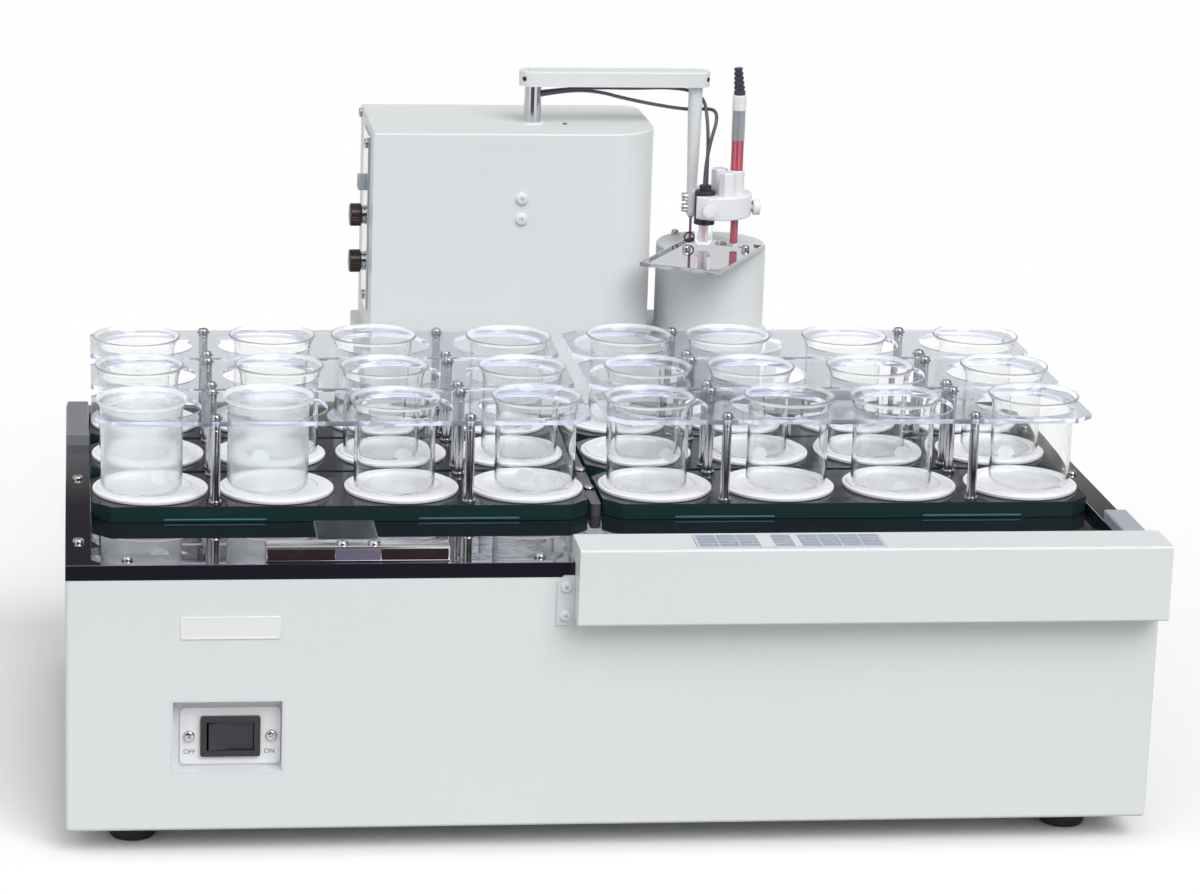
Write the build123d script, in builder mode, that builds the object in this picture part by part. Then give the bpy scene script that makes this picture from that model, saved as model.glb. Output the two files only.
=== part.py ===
from build123d import *
import math
import os

os.makedirs("parts", exist_ok=True)

# A bench sample changer for titration. Six racks of beakers stand on a long, low casing. A tower behind them
# carries an arm with two electrodes, parked over a drip tray. Sizes are in mm.
# Origin: middle of the footprint on the bench. +X is right, +Y is back, +Z is up.

# ---- Overall sizes ----
width = 670.0
total_depth = 505.0
deck_depth = 370.0
panel_overhang = 20.0
foot_height = 16.0
deck_top = 185.0
deck_band = 9.5
deck_recess = 6.0
sheet = 2.0
fit = 0.05
gap = 0.3

front = -total_depth / 2 + panel_overhang
back = total_depth / 2
deck_back = front + deck_depth
deck_middle = (front + deck_back) / 2
floor_top = deck_top - deck_recess
casing_top = deck_top - deck_band
left = -width / 2
right = width / 2

# ---- Deck rails ----
side_rail = 16.0
front_rail = 21.6
back_rail = 21.6

# ---- Racks: two columns of three, four beakers each ----
rack_length = 314.0
rack_depth = 76.0
tray_height = 10.0
rack_chamfer = 12.0
row_pitch = 80.8
column_offset = 161.6
first_row_front = front + 107.4
beaker_pitch = 79.9
beakers_per_rack = 4
seat_diameter = 73.0
seat_height = 3.6
seat_recess_diameter = 53.4
seat_recess = 1.6
beaker_outer = 51.7
beaker_rim = 58.5
beaker_height = 60.0
beaker_wall = 1.8
cover_underside = deck_top + 56.2
cover_thickness = 3.0
cover_hole = 64.0
post_diameter = 6.0
post_inset = 6.5
slit_length = 64.0
slit_height = 1.2

# ---- Tower, lift and arm ----
tower_left, tower_right = left + 210.7, left + 409.5
tower_front, tower_back = deck_back, back - 1.5
tower_top = deck_top + 192.0
tower_wall = 2.5
pedestal_left, pedestal_right = left + 205.0, left + 500.0
pedestal_top = deck_top + 40.0
shaft_x, shaft_y = left + 325.0, front + 413.0
shaft_diameter = 12.0
screw_y = shaft_y + 34.5
screw_diameter = 8.0
guide_diameter = 8.0
guide_spread = 50.0
guide_y = shaft_y + 24.0
arm_low, arm_high = deck_top + 219.0, deck_top + 229.6
arm_width = 19.0
arm_left, arm_right = left + 315.0, left + 449.7

# ---- Electrode head ----
rod_x = left + 440.0
rod_low = deck_top + 125.5
rod_top_diameter, rod_low_diameter = 9.9, 7.2
holder_x, holder_y = left + 457.0, front + 406.0
holder_radius = 24.5
holder_low, holder_high = deck_top + 128.5, deck_top + 144.5
holder_flat = left + 439.7
electrode_x, electrode_y = left + 446.9, front + 397.0
electrode_body, electrode_tube = 14.6, 12.3
probe_x, probe_y = left + 468.9, front + 399.2
probe_tube = 5.5
tip_height = deck_top + 108.5
nut_width, nut_height = 11.6, 17.0

# ---- Rinse housing and drip tray ----
rinse_x, rinse_y = left + 456.5, front + 420.0
rinse_radius = 38.8
rinse_top = deck_top + 104.8
drip_x, drip_y = left + 442.4, front + 370.8
drip_turn = 60.0
drip_long, drip_short = 95.0, 57.6
drip_sheet, drip_rim = 1.0, 2.7

# ---- Switch and control panel ----
pan_x, pan_z = left + 97.5, deck_top - 108.8
pan_width, pan_height, pan_depth = 68.6, 47.2, 11.0
pan_wall = 1.2
switch_x, switch_z = left + 99.6, deck_top - 111.3
plate_width, plate_height, plate_thickness = 61.0, 36.0, 1.5
bezel_width, bezel_height, bezel_thickness = 36.4, 25.5, 2.5
body_width, body_height, body_depth = 31.2, 20.2, 18.0
rocker_tilt = 7.0
panel_left, panel_right = left + 306.3, left + 669.4
panel_low, panel_high = deck_top - 34.2, deck_top + 13.4
panel_back = front + 13.8

# ---- Fasteners ----
screw_head, screw_head_height, screw_shank, screw_length = 7.0, 2.4, 3.9, 3.2
shank_hole = screw_shank + 2 * fit


def block(xs, ys, zs, mode=Mode.ADD):
    """Box between two x, two y and two z values."""
    with Locations([((xs[0] + xs[1]) / 2, (ys[0] + ys[1]) / 2, (zs[0] + zs[1]) / 2)]):
        Box(xs[1] - xs[0], ys[1] - ys[0], zs[1] - zs[0], mode=mode)


def disc(x, y, low, high, diameter, mode=Mode.ADD):
    """Upright cylinder between two heights."""
    with Locations([(x, y, (low + high) / 2)]):
        Cylinder(diameter / 2, high - low, mode=mode)


def pin(plane, diameter, start, end, mode=Mode.ADD):
    """Cylinder along a plane's normal, from start to end."""
    with BuildSketch(plane.offset(start)) as end_face:
        Circle(diameter / 2)
    extrude(end_face.sketch, amount=end - start, mode=mode)


def pan_screw(plane, head=screw_head, height=screw_head_height):
    """Pan head screw on a surface: the plane lies on it and its normal points outwards."""
    pin(plane, head, 0, height)
    pin(plane, screw_shank, -screw_length, 0)


def save(piece, name):
    piece.part.label = name
    export_step(piece.part, f"parts/{name}.step")


def upward(x, y, z):
    return Plane((x, y, z), x_dir=(1, 0, 0), z_dir=(0, 0, 1))


def forward(x, y, z):
    return Plane((x, y, z), x_dir=(1, 0, 0), z_dir=(0, -1, 0))


def leftward(x, y, z):
    return Plane((x, y, z), x_dir=(0, -1, 0), z_dir=(-1, 0, 0))


# ---- Where the screws go ----
side_rail_screws = [
    upward(left + side_rail / 2, front + 48, deck_top),
    upward(left + side_rail / 2, front + 186, deck_top),
    upward(right - side_rail / 2, front + 186, deck_top),
    upward(right - side_rail / 2, front + 300, deck_top),
]
front_rail_screws = [upward(left + 37, front + 12, deck_top), upward(left + 286, front + 12, deck_top)]
back_rail_screws = [upward(x, deck_back - 11, deck_top) for x in (left + 37, left + 150, right - 37)]
rail_screws = side_rail_screws + front_rail_screws + back_rail_screws

divider_width, divider_height = 6.5, 8.0
divider_front = front + 115.0
divider_back = deck_back - back_rail
divider_screws = [upward(0, y, floor_top + divider_height) for y in (front + 150, front + 192, divider_back - 20)]

bracket_x, bracket_width, bracket_low, bracket_high = panel_left - 5.4, 10.6, deck_top - 39.0, deck_top - 8.0
bracket_screws = [forward(bracket_x, front - sheet, z) for z in (deck_top - 14.7, deck_top - 33.0)]
pan_back = front + pan_depth
plate_screws = [forward(switch_x + side * 25.0, pan_back - plate_thickness, switch_z) for side in (-1, 1)]
tower_screws = [forward(left + 314.0, tower_front, deck_top + z) for z in (146.5, 132.0)]
connector_plate_front = tower_left - 1.5
connector_y = front + 420.0
connector_plate_screws = [
    leftward(connector_plate_front, connector_y - 8, deck_top + 177.0),
    leftward(connector_plate_front, connector_y, deck_top + 67.0),
]
rinse_screws = [upward(left + 435.0, front + 447.3, rinse_top), upward(left + 478.0, front + 447.3, rinse_top)]
drip_floor = rinse_top + drip_sheet
drip_screws = [upward(left + 434.0, front + 390.5, drip_floor), upward(left + 476.0, front + 390.5, drip_floor)]

# ---- Casing: a folded sheet tub with an opening for the switch ----
with BuildPart() as casing_shell:
    with BuildSketch(Plane.XY.offset(foot_height)):
        with Locations((0, deck_middle)):
            Rectangle(width, deck_depth)
    extrude(amount=casing_top - foot_height)
    fillet(casing_shell.edges().filter_by(Axis.Z), 3)
    fillet(casing_shell.faces().sort_by(Axis.Z)[0].edges(), 2.5)
    block(
        (left + sheet, right - sheet),
        (front + sheet, deck_back - sheet),
        (foot_height + sheet, casing_top),
        Mode.SUBTRACT,
    )
    block(
        (pan_x - pan_width / 2, pan_x + pan_width / 2),
        (front - 1, front + sheet + 1),
        (pan_z - pan_height / 2, pan_z + pan_height / 2),
        Mode.SUBTRACT,
    )
    for place in bracket_screws:
        pin(place.offset(-sheet), shank_hole, -sheet, 0, Mode.SUBTRACT)
save(casing_shell, "casing_shell")

# Six rubber feet: four under the casing and two under the rear pedestal.
foot_diameter = 31.0
foot_places = [(left + 41, front + 38), (right - 43, front + 38), (left + 41, front + 330), (right - 43, front + 330)]
foot_places += [(pedestal_left + 25, back - 25), (pedestal_right - 25, back - 25)]
with BuildPart() as rubber_feet:
    for x, y in foot_places:
        disc(x, y, 0, foot_height, foot_diameter)
    fillet(rubber_feet.edges().group_by(Axis.Z)[0], 2.5)
save(rubber_feet, "rubber_feet")

# ---- Deck: four rails round a recessed floor ----
rail_inner_left, rail_inner_right = left + side_rail, right - side_rail
rail_inner_front, rail_inner_back = front + front_rail, deck_back - back_rail
with BuildPart() as deck_rails:
    block((left, right), (front, rail_inner_front), (casing_top, deck_top))
    block((left, right), (rail_inner_back, deck_back), (casing_top, deck_top))
    for xs in ((left, rail_inner_left), (rail_inner_right, right)):
        block(xs, (rail_inner_front + fit, rail_inner_back - fit), (casing_top, deck_top))
    for place in rail_screws:
        pin(place, shank_hole, -screw_length, 0, Mode.SUBTRACT)
save(deck_rails, "deck_rails")

with BuildPart() as deck_floor:
    block((rail_inner_left, rail_inner_right), (rail_inner_front, rail_inner_back), (casing_top, floor_top))
save(deck_floor, "deck_floor")

with BuildPart() as divider_bar:
    block(
        (-divider_width / 2, divider_width / 2),
        (divider_front, divider_back),
        (floor_top, floor_top + divider_height),
    )
    fillet(divider_bar.edges().filter_by(Axis.Z).group_by(Axis.Y)[0], 3)
    for place in divider_screws:
        pin(place, shank_hole, -screw_length, 0, Mode.SUBTRACT)
save(divider_bar, "divider_bar")

# ---- Power switch: a pan behind the opening, a plate, a bezel with its body, and the rocker ----
pan_xs = (pan_x - pan_width / 2 + fit, pan_x + pan_width / 2 - fit)
pan_zs = (pan_z - pan_height / 2 + fit, pan_z + pan_height / 2 - fit)
body_xs = (switch_x - body_width / 2, switch_x + body_width / 2)
body_zs = (switch_z - body_height / 2, switch_z + body_height / 2)
with BuildPart() as switch_pan:
    block(pan_xs, (front, pan_back + pan_wall), pan_zs)
    block(
        (pan_xs[0] + pan_wall, pan_xs[1] - pan_wall),
        (front, pan_back),
        (pan_zs[0] + pan_wall, pan_zs[1] - pan_wall),
        Mode.SUBTRACT,
    )
    block(
        (body_xs[0] - fit, body_xs[1] + fit),
        (pan_back, pan_back + pan_wall),
        (body_zs[0] - fit, body_zs[1] + fit),
        Mode.SUBTRACT,
    )
    for place in plate_screws:
        pin(place, shank_hole, -screw_length, 0, Mode.SUBTRACT)
save(switch_pan, "switch_pan")

plate_front = pan_back - plate_thickness
with BuildPart() as switch_plate:
    block(
        (switch_x - plate_width / 2, switch_x + plate_width / 2),
        (plate_front, pan_back),
        (switch_z - plate_height / 2, switch_z + plate_height / 2),
    )
    fillet(switch_plate.edges().filter_by(Axis.Y), 3)
    block(
        (body_xs[0] - fit, body_xs[1] + fit),
        (plate_front, pan_back),
        (body_zs[0] - fit, body_zs[1] + fit),
        Mode.SUBTRACT,
    )
    for place in plate_screws:
        pin(place, shank_hole, -screw_length, 0, Mode.SUBTRACT)
save(switch_plate, "switch_plate")

body_wall = 1.2
rocker_pin = 2.4
rocker_axis_y = plate_front + 1.0
with BuildPart() as switch_bezel:
    block(
        (switch_x - bezel_width / 2, switch_x + bezel_width / 2),
        (plate_front - bezel_thickness, plate_front),
        (switch_z - bezel_height / 2, switch_z + bezel_height / 2),
    )
    fillet(switch_bezel.edges().filter_by(Axis.Y), 1.5)
    block(body_xs, (plate_front, plate_front + body_depth), body_zs)
    block(
        (body_xs[0] + body_wall, body_xs[1] - body_wall),
        (plate_front - bezel_thickness, plate_front + body_depth - body_wall),
        (body_zs[0] + body_wall, body_zs[1] - body_wall),
        Mode.SUBTRACT,
    )
    disc(switch_x, rocker_axis_y, body_zs[0] + 0.4, body_zs[1] - 0.4, rocker_pin + 4 * fit, Mode.SUBTRACT)
save(switch_bezel, "switch_bezel")

rocker_half, rocker_rise, rocker_dip, rocker_deep = 13.6, 3.6, 1.6, 3.0
rocker_low, rocker_high = body_zs[0] + body_wall + gap, body_zs[1] - body_wall - gap
tilt = math.radians(rocker_tilt)
rocker_plane = Plane(
    (switch_x, rocker_axis_y, rocker_low), x_dir=(math.cos(tilt), math.sin(tilt), 0), z_dir=(0, 0, 1)
)
with BuildPart() as power_rocker:
    with BuildSketch(rocker_plane):
        with BuildLine():
            Polyline(
                (-rocker_half, -rocker_rise),
                (0, -rocker_dip),
                (rocker_half, -rocker_rise),
                (rocker_half, rocker_deep),
                (-rocker_half, rocker_deep),
                close=True,
            )
        make_face()
    extrude(amount=rocker_high - rocker_low)
    disc(switch_x, rocker_axis_y, body_zs[0] + 0.6, body_zs[1] - 0.6, rocker_pin)
save(power_rocker, "power_rocker")

# ---- Control panel: a box hung over the deck's front edge, with a bracket at its left end ----
with BuildPart() as control_panel:
    with BuildSketch(Plane.YZ.offset(panel_left)):
        with BuildLine():
            Polyline(
                (front - panel_overhang, panel_low),
                (front, panel_low),
                (front, deck_top),
                (panel_back, deck_top),
                (panel_back, panel_high),
                (front - panel_overhang, panel_high),
                close=True,
            )
        make_face()
    extrude(amount=panel_right - panel_left)
    fillet(control_panel.edges().filter_by(Axis.X).group_by(Axis.Y)[0], 1.5)
    block(
        (panel_left + sheet, panel_right - sheet),
        (front - panel_overhang + sheet, front),
        (panel_low + sheet, deck_top - gap),
        Mode.SUBTRACT,
    )
save(control_panel, "control_panel")

with BuildPart() as panel_bracket:
    block(
        (bracket_x - bracket_width / 2, bracket_x + bracket_width / 2),
        (front - sheet, front),
        (bracket_low, bracket_high),
    )
    chamfer(panel_bracket.edges().filter_by(Axis.Y).group_by(Axis.Z)[-1].sort_by(Axis.X)[0], 4)
    for place in bracket_screws:
        pin(place, shank_hole, -sheet, 0, Mode.SUBTRACT)
save(panel_bracket, "panel_bracket")

# ---- Pushers that shift the racks round the deck ----
pusher_gap = gap
pusher_height = 9.4
with BuildPart() as front_pusher_bar:
    block((left + 119.7, left + 230.7), (front + 4.7, front + 20), (deck_top + pusher_gap, deck_top + pusher_height))
    chamfer(front_pusher_bar.edges().filter_by(Axis.X).group_by(Axis.Z)[-1], 0.8)
    for x in (left + 166, left + 185):
        pin(upward(x, front + 12.5, deck_top + pusher_height), screw_head, 0, screw_head_height)
save(front_pusher_bar, "front_pusher_bar")

with BuildPart() as front_pusher_hook:
    block((left + 152, left + 188), (front + 20, front + 59), (deck_top + 6.4, deck_top + pusher_height))
    block((left + 152, left + 188), (front + 56, front + 59), (floor_top + gap, deck_top + 6.4))
    for xs in ((left + 152, left + 154), (left + 186, left + 188)):
        block(xs, (front + 23, front + 56), (floor_top + gap, deck_top + 6.4))
save(front_pusher_hook, "front_pusher_hook")

rear_pusher_x = column_offset
rear_row_back = first_row_front + 2 * row_pitch + rack_depth
rear_pusher_ys = (divider_back + 1.5, divider_back + 16.5)
with BuildPart() as rear_pusher:
    block(
        (rear_pusher_x - 55, rear_pusher_x + 55), rear_pusher_ys, (deck_top + pusher_gap, deck_top + pusher_height)
    )
    block(
        (rear_pusher_x - 18, rear_pusher_x + 18),
        (rear_row_back + gap, rear_pusher_ys[0]),
        (deck_top + pusher_gap, deck_top + 3.6),
    )
save(rear_pusher, "rear_pusher")

with BuildPart() as side_pusher_bars:
    block((left + 1, left + side_rail - 0.5), (front + 267, front + 354), (deck_top, deck_top + 6.8))
    block((right - side_rail + 0.5, right - 1), (front + 24, front + 80.6), (deck_top, deck_top + 6.8))
    chamfer(side_pusher_bars.edges().filter_by(Axis.Y).group_by(Axis.Z)[-1], 0.8)
save(side_pusher_bars, "side_pusher_bars")


# ---- Racks ----
def seat_places(rack):
    """Centres of a rack's four beakers, left to right."""
    x, y = rack
    return [(x + (i - (beakers_per_rack - 1) / 2) * beaker_pitch, y) for i in range(beakers_per_rack)]


def post_places(rack):
    """Centres of a rack's four posts, between the outer pairs of beakers."""
    x, y = rack
    reach = rack_depth / 2 - post_inset
    return [(x + side * beaker_pitch, y + end * reach) for side in (-1, 1) for end in (-1, 1)]


def rack_outline():
    """The rack's outline with its corners cut off, for the sketch being drawn."""
    Rectangle(rack_length, rack_depth)
    chamfer(vertices(), rack_chamfer)


tray_low = floor_top + gap
tray_top = tray_low + tray_height
seat_top = tray_top + seat_height
beaker_low = seat_top - seat_recess + gap
beaker_top = beaker_low + beaker_height
cover_top = cover_underside + cover_thickness
post_neck = 4.0


def make_trays(racks, name):
    with BuildPart() as trays:
        for x, y in racks:
            with BuildSketch(upward(x, y, tray_low)):
                rack_outline()
            extrude(amount=tray_height)
            for side in (-1, 1):
                middle = x + side * beaker_pitch
                block(
                    (middle - slit_length / 2, middle + slit_length / 2),
                    (y - rack_depth / 2, y - rack_depth / 2 + 1.5),
                    (tray_low + 1.0, tray_low + 1.0 + slit_height),
                    Mode.SUBTRACT,
                )
    save(trays, name)


def make_seats(racks, name):
    with BuildPart() as seats:
        for rack in racks:
            for x, y in seat_places(rack):
                disc(x, y, tray_top, seat_top - 1.2, seat_diameter)
                disc(x, y, seat_top - 1.2, seat_top, seat_diameter - 5)
                disc(x, y, seat_top - seat_recess, seat_top, seat_recess_diameter, Mode.SUBTRACT)
    save(seats, name)


def make_beakers(racks, name):
    outer, inner, rim = beaker_outer / 2, beaker_outer / 2 - beaker_wall, beaker_rim / 2
    with BuildPart() as beakers:
        for rack in racks:
            for x, y in seat_places(rack):
                with BuildSketch(Plane((x, y, beaker_low), x_dir=(1, 0, 0), z_dir=(0, -1, 0))):
                    with BuildLine():
                        Polyline(
                            (0, 0),
                            (outer - 2, 0),
                            (outer, 2),
                            (outer, beaker_height - 6),
                            (rim, beaker_height - 1.2),
                            (rim - 0.6, beaker_height),
                            (rim - 2.2, beaker_height),
                            (inner, beaker_height - 6),
                            (inner, 3.5),
                            (inner - 1.5, 2),
                            (0, 2),
                            close=True,
                        )
                    make_face()
                revolve(axis=Axis((x, y, 0), (0, 0, 1)))
    save(beakers, name)


def make_posts(racks, name):
    with BuildPart() as posts:
        for rack in racks:
            for x, y in post_places(rack):
                disc(x, y, tray_top, cover_underside, post_diameter)
                disc(x, y, cover_underside, cover_top, post_neck)
                disc(x, y, cover_top, cover_top + 0.8, 9)
                disc(x, y, cover_top + 0.8, cover_top + 0.8 + screw_head_height, screw_head)
    save(posts, name)


def make_covers(racks, name):
    with BuildPart() as covers:
        for x, y in racks:
            with BuildSketch(upward(x, y, cover_underside)):
                rack_outline()
                with Locations([(sx - x, sy - y) for sx, sy in seat_places((x, y))]):
                    Circle(cover_hole / 2, mode=Mode.SUBTRACT)
                with Locations([(px - x, py - y) for px, py in post_places((x, y))]):
                    Circle(post_neck / 2 + fit, mode=Mode.SUBTRACT)
            extrude(amount=cover_thickness)
    save(covers, name)


def rack_at(column, row):
    return (column * column_offset, first_row_front + row * row_pitch + rack_depth / 2)


rack_groups = {
    "left_front": [rack_at(-1, 0)],
    "left_rear": [rack_at(-1, 1), rack_at(-1, 2)],
    "right": [rack_at(1, 0), rack_at(1, 1), rack_at(1, 2)],
}
for group, racks in rack_groups.items():
    make_trays(racks, f"{group}_trays")
    make_seats(racks, f"{group}_seats")
    make_beakers(racks, f"{group}_beakers")
    make_posts(racks, f"{group}_posts")
    make_covers(racks, f"{group}_covers")

# ---- Rear pedestal: a box behind the casing that carries the tower and the rinse housing ----
motor_size, motor_height, motor_boss = 42.0, 40.0, 22.0
with BuildPart() as rear_pedestal:
    block((pedestal_left, pedestal_right), (deck_back, back), (foot_height, pedestal_top))
    fillet(rear_pedestal.edges().filter_by(Axis.Z).group_by(Axis.Y)[-1], 4)
    block(
        (pedestal_left + tower_wall, pedestal_right - tower_wall),
        (deck_back + tower_wall, back - tower_wall),
        (foot_height + tower_wall, pedestal_top - tower_wall),
        Mode.SUBTRACT,
    )
    disc(shaft_x, screw_y, pedestal_top - tower_wall, pedestal_top, motor_boss + 2 * fit, Mode.SUBTRACT)
save(rear_pedestal, "rear_pedestal")

# ---- Tower: one folded shell, sharp at the front left and widely rounded at the front right ----
collar_sleeve = 15.0
window_ys = (connector_y - 14, connector_y + 14)
window_zs = (deck_top + 76, deck_top + 160)
with BuildPart() as tower_shell:
    block((tower_left, tower_right), (tower_front, tower_back), (pedestal_top, tower_top))
    front_uprights = tower_shell.edges().filter_by(Axis.Z).group_by(Axis.Y)[0].sort_by(Axis.X)
    back_uprights = tower_shell.edges().filter_by(Axis.Z).group_by(Axis.Y)[-1].sort_by(Axis.X)
    fillet(front_uprights[-1], 35)
    fillet(back_uprights[-1], 15)
    fillet(tower_shell.faces().sort_by(Axis.Z)[-1].edges(), 1.2)
    with BuildSketch(Plane.XY.offset(pedestal_top)):
        inner_width = tower_right - tower_left - 2 * tower_wall
        inner_depth = tower_back - tower_front - 2 * tower_wall
        with Locations(((tower_left + tower_right) / 2, (tower_front + tower_back) / 2)):
            Rectangle(inner_width, inner_depth)
        fillet(vertices().group_by(Axis.X)[-1].sort_by(Axis.Y)[0], 35 - tower_wall)
        fillet(vertices().group_by(Axis.X)[-1].sort_by(Axis.Y)[-1], 15 - tower_wall)
    extrude(amount=tower_top - tower_wall - pedestal_top, mode=Mode.SUBTRACT)
    disc(shaft_x, shaft_y, tower_top - tower_wall, tower_top, collar_sleeve + 2 * fit, Mode.SUBTRACT)
    block((tower_left, tower_left + tower_wall), window_ys, window_zs, Mode.SUBTRACT)
    for place in tower_screws:
        pin(place, shank_hole, -screw_length, 0, Mode.SUBTRACT)
    for place in connector_plate_screws:
        pin(place.offset(-1.5), shank_hole, -tower_wall, 0, Mode.SUBTRACT)
save(tower_shell, "tower_shell")

flange_diameter, flange_height = 17.0, 1.2
with BuildPart() as post_bushing:
    disc(shaft_x, shaft_y, tower_top, tower_top + flange_height, flange_diameter)
    disc(shaft_x, shaft_y, tower_top - 12, tower_top, collar_sleeve)
    disc(shaft_x, shaft_y, tower_top - 12, tower_top + flange_height, shaft_diameter + 2 * fit, Mode.SUBTRACT)
save(post_bushing, "post_bushing")

# ---- Connectors on the tower's left side ----
upper_ring_z, lower_ring_z = deck_top + 124.5, deck_top + 91.3
ring_diameter, ring_width, core_diameter = 16.0, 8.4, 9.0
with BuildPart() as connector_plate:
    block(
        (connector_plate_front, tower_left),
        (connector_y - 20, connector_y + 20),
        (deck_top + 60, deck_top + 185),
    )
    fillet(connector_plate.edges().filter_by(Axis.X), 2)
    block(
        (connector_plate_front - 3, connector_plate_front),
        (connector_y - 4.5, connector_y + 4.5),
        (deck_top + 143, deck_top + 152.5),
    )
    for z in (upper_ring_z, lower_ring_z):
        pin(leftward(connector_plate_front, connector_y, z), core_diameter + 2 * fit, -1.5, 0, Mode.SUBTRACT)
    for place in connector_plate_screws:
        pin(place, shank_hole, -1.5, 0, Mode.SUBTRACT)
save(connector_plate, "connector_plate")

with BuildPart() as connector_cores:
    for z in (upper_ring_z, lower_ring_z):
        socket = leftward(connector_plate_front, connector_y, z)
        pin(socket, core_diameter, -12, 13)
        pin(socket, 14, 0, 2.5)
        pin(socket, 5, 5, 13, Mode.SUBTRACT)
save(connector_cores, "connector_cores")

for name, z in (("connector_ring_upper", upper_ring_z), ("connector_ring_lower", lower_ring_z)):
    with BuildPart() as ring:
        socket = leftward(connector_plate_front, connector_y, z)
        pin(socket, ring_diameter, 2.5 + gap, 2.5 + gap + ring_width)
        pin(socket, core_diameter + 4 * fit, 2.5 + gap, 2.5 + gap + ring_width, Mode.SUBTRACT)
    save(ring, name)

# ---- Lift inside the tower: motor, screw, guide rods and carriage ----
feed_motor_places = [(-150.0, 40.0, foot_height + sheet), (150.0, 40.0, foot_height + sheet)]
lift_motor_low = pedestal_top - tower_wall - motor_height
with BuildPart() as stepper_motors:
    for x, y, low in feed_motor_places + [(shaft_x, screw_y, lift_motor_low)]:
        block(
            (x - motor_size / 2, x + motor_size / 2),
            (y - motor_size / 2, y + motor_size / 2),
            (low, low + motor_height),
        )
        disc(x, y, low + motor_height, low + motor_height + tower_wall, motor_boss)
    chamfer(stepper_motors.edges().filter_by(Axis.Z).filter_by(lambda e: e.length > motor_height - 1), 4)
save(stepper_motors, "stepper_motors")

ceiling = tower_top - tower_wall
with BuildPart() as guide_rods:
    for side in (-1, 1):
        disc(shaft_x + side * guide_spread, guide_y, pedestal_top, ceiling, guide_diameter)
save(guide_rods, "guide_rods")

with BuildPart() as lift_screw:
    disc(shaft_x, screw_y, pedestal_top + gap, ceiling - 4, screw_diameter)
save(lift_screw, "lift_screw")

carriage_low, carriage_high = pedestal_top + 7, pedestal_top + 31
shaft_low = carriage_low + 4
with BuildPart() as lift_carriage:
    block(
        (shaft_x - guide_spread - 12, shaft_x + guide_spread + 12),
        (shaft_y - 12, screw_y + 14),
        (carriage_low, carriage_high),
    )
    for side in (-1, 1):
        disc(
            shaft_x + side * guide_spread, guide_y, carriage_low, carriage_high, guide_diameter + 2 * fit, Mode.SUBTRACT
        )
    disc(shaft_x, screw_y, carriage_low, carriage_high, screw_diameter + 4 * fit, Mode.SUBTRACT)
    disc(shaft_x, shaft_y, shaft_low - fit, carriage_high, shaft_diameter + 2 * fit, Mode.SUBTRACT)
save(lift_carriage, "lift_carriage")

# ---- Arm: the post, the bar on it and the rod that hangs from the bar's end ----
lead_slot_z = deck_top + 213.0
with BuildPart() as support_post:
    disc(shaft_x, shaft_y, shaft_low, arm_high, shaft_diameter)
    block(
        (shaft_x + shaft_diameter / 2 - 3.5, shaft_x + shaft_diameter / 2),
        (shaft_y - 3.6, shaft_y + 3.6),
        (lead_slot_z - 3.6, lead_slot_z + 3.6),
        Mode.SUBTRACT,
    )
save(support_post, "support_post")

with BuildPart() as arm_bar:
    with BuildSketch(Plane.XY.offset(arm_low)):
        with Locations(((arm_left + arm_right) / 2, shaft_y)):
            SlotOverall(arm_right - arm_left, arm_width)
    extrude(amount=arm_high - arm_low)
    fillet(arm_bar.faces().sort_by(Axis.Z)[-1].edges(), 1.0)
    disc(shaft_x, shaft_y, arm_low, arm_high, shaft_diameter + 2 * fit, Mode.SUBTRACT)
    disc(rod_x, shaft_y, arm_low, arm_high, rod_top_diameter + 2 * fit, Mode.SUBTRACT)
save(arm_bar, "arm_bar")

with BuildPart() as drop_rod:
    with BuildSketch(Plane((rod_x, shaft_y, 0), x_dir=(1, 0, 0), z_dir=(0, -1, 0))):
        with BuildLine():
            Polyline(
                (0, rod_low),
                (rod_low_diameter / 2 - 1.5, rod_low),
                (rod_low_diameter / 2, rod_low + 2),
                (rod_low_diameter / 2, holder_high + 4),
                (rod_top_diameter / 2, arm_low - 18),
                (rod_top_diameter / 2, arm_high),
                (0, arm_high),
                close=True,
            )
        make_face()
    revolve(axis=Axis((rod_x, shaft_y, 0), (0, 0, 1)))
    for z in (deck_top + 139.3, deck_top + 131.6):
        pin(leftward(rod_x, shaft_y, z), 5.6, rod_low_diameter / 2 - 1, rod_low_diameter / 2 + 2)
save(drop_rod, "drop_rod")

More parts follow.
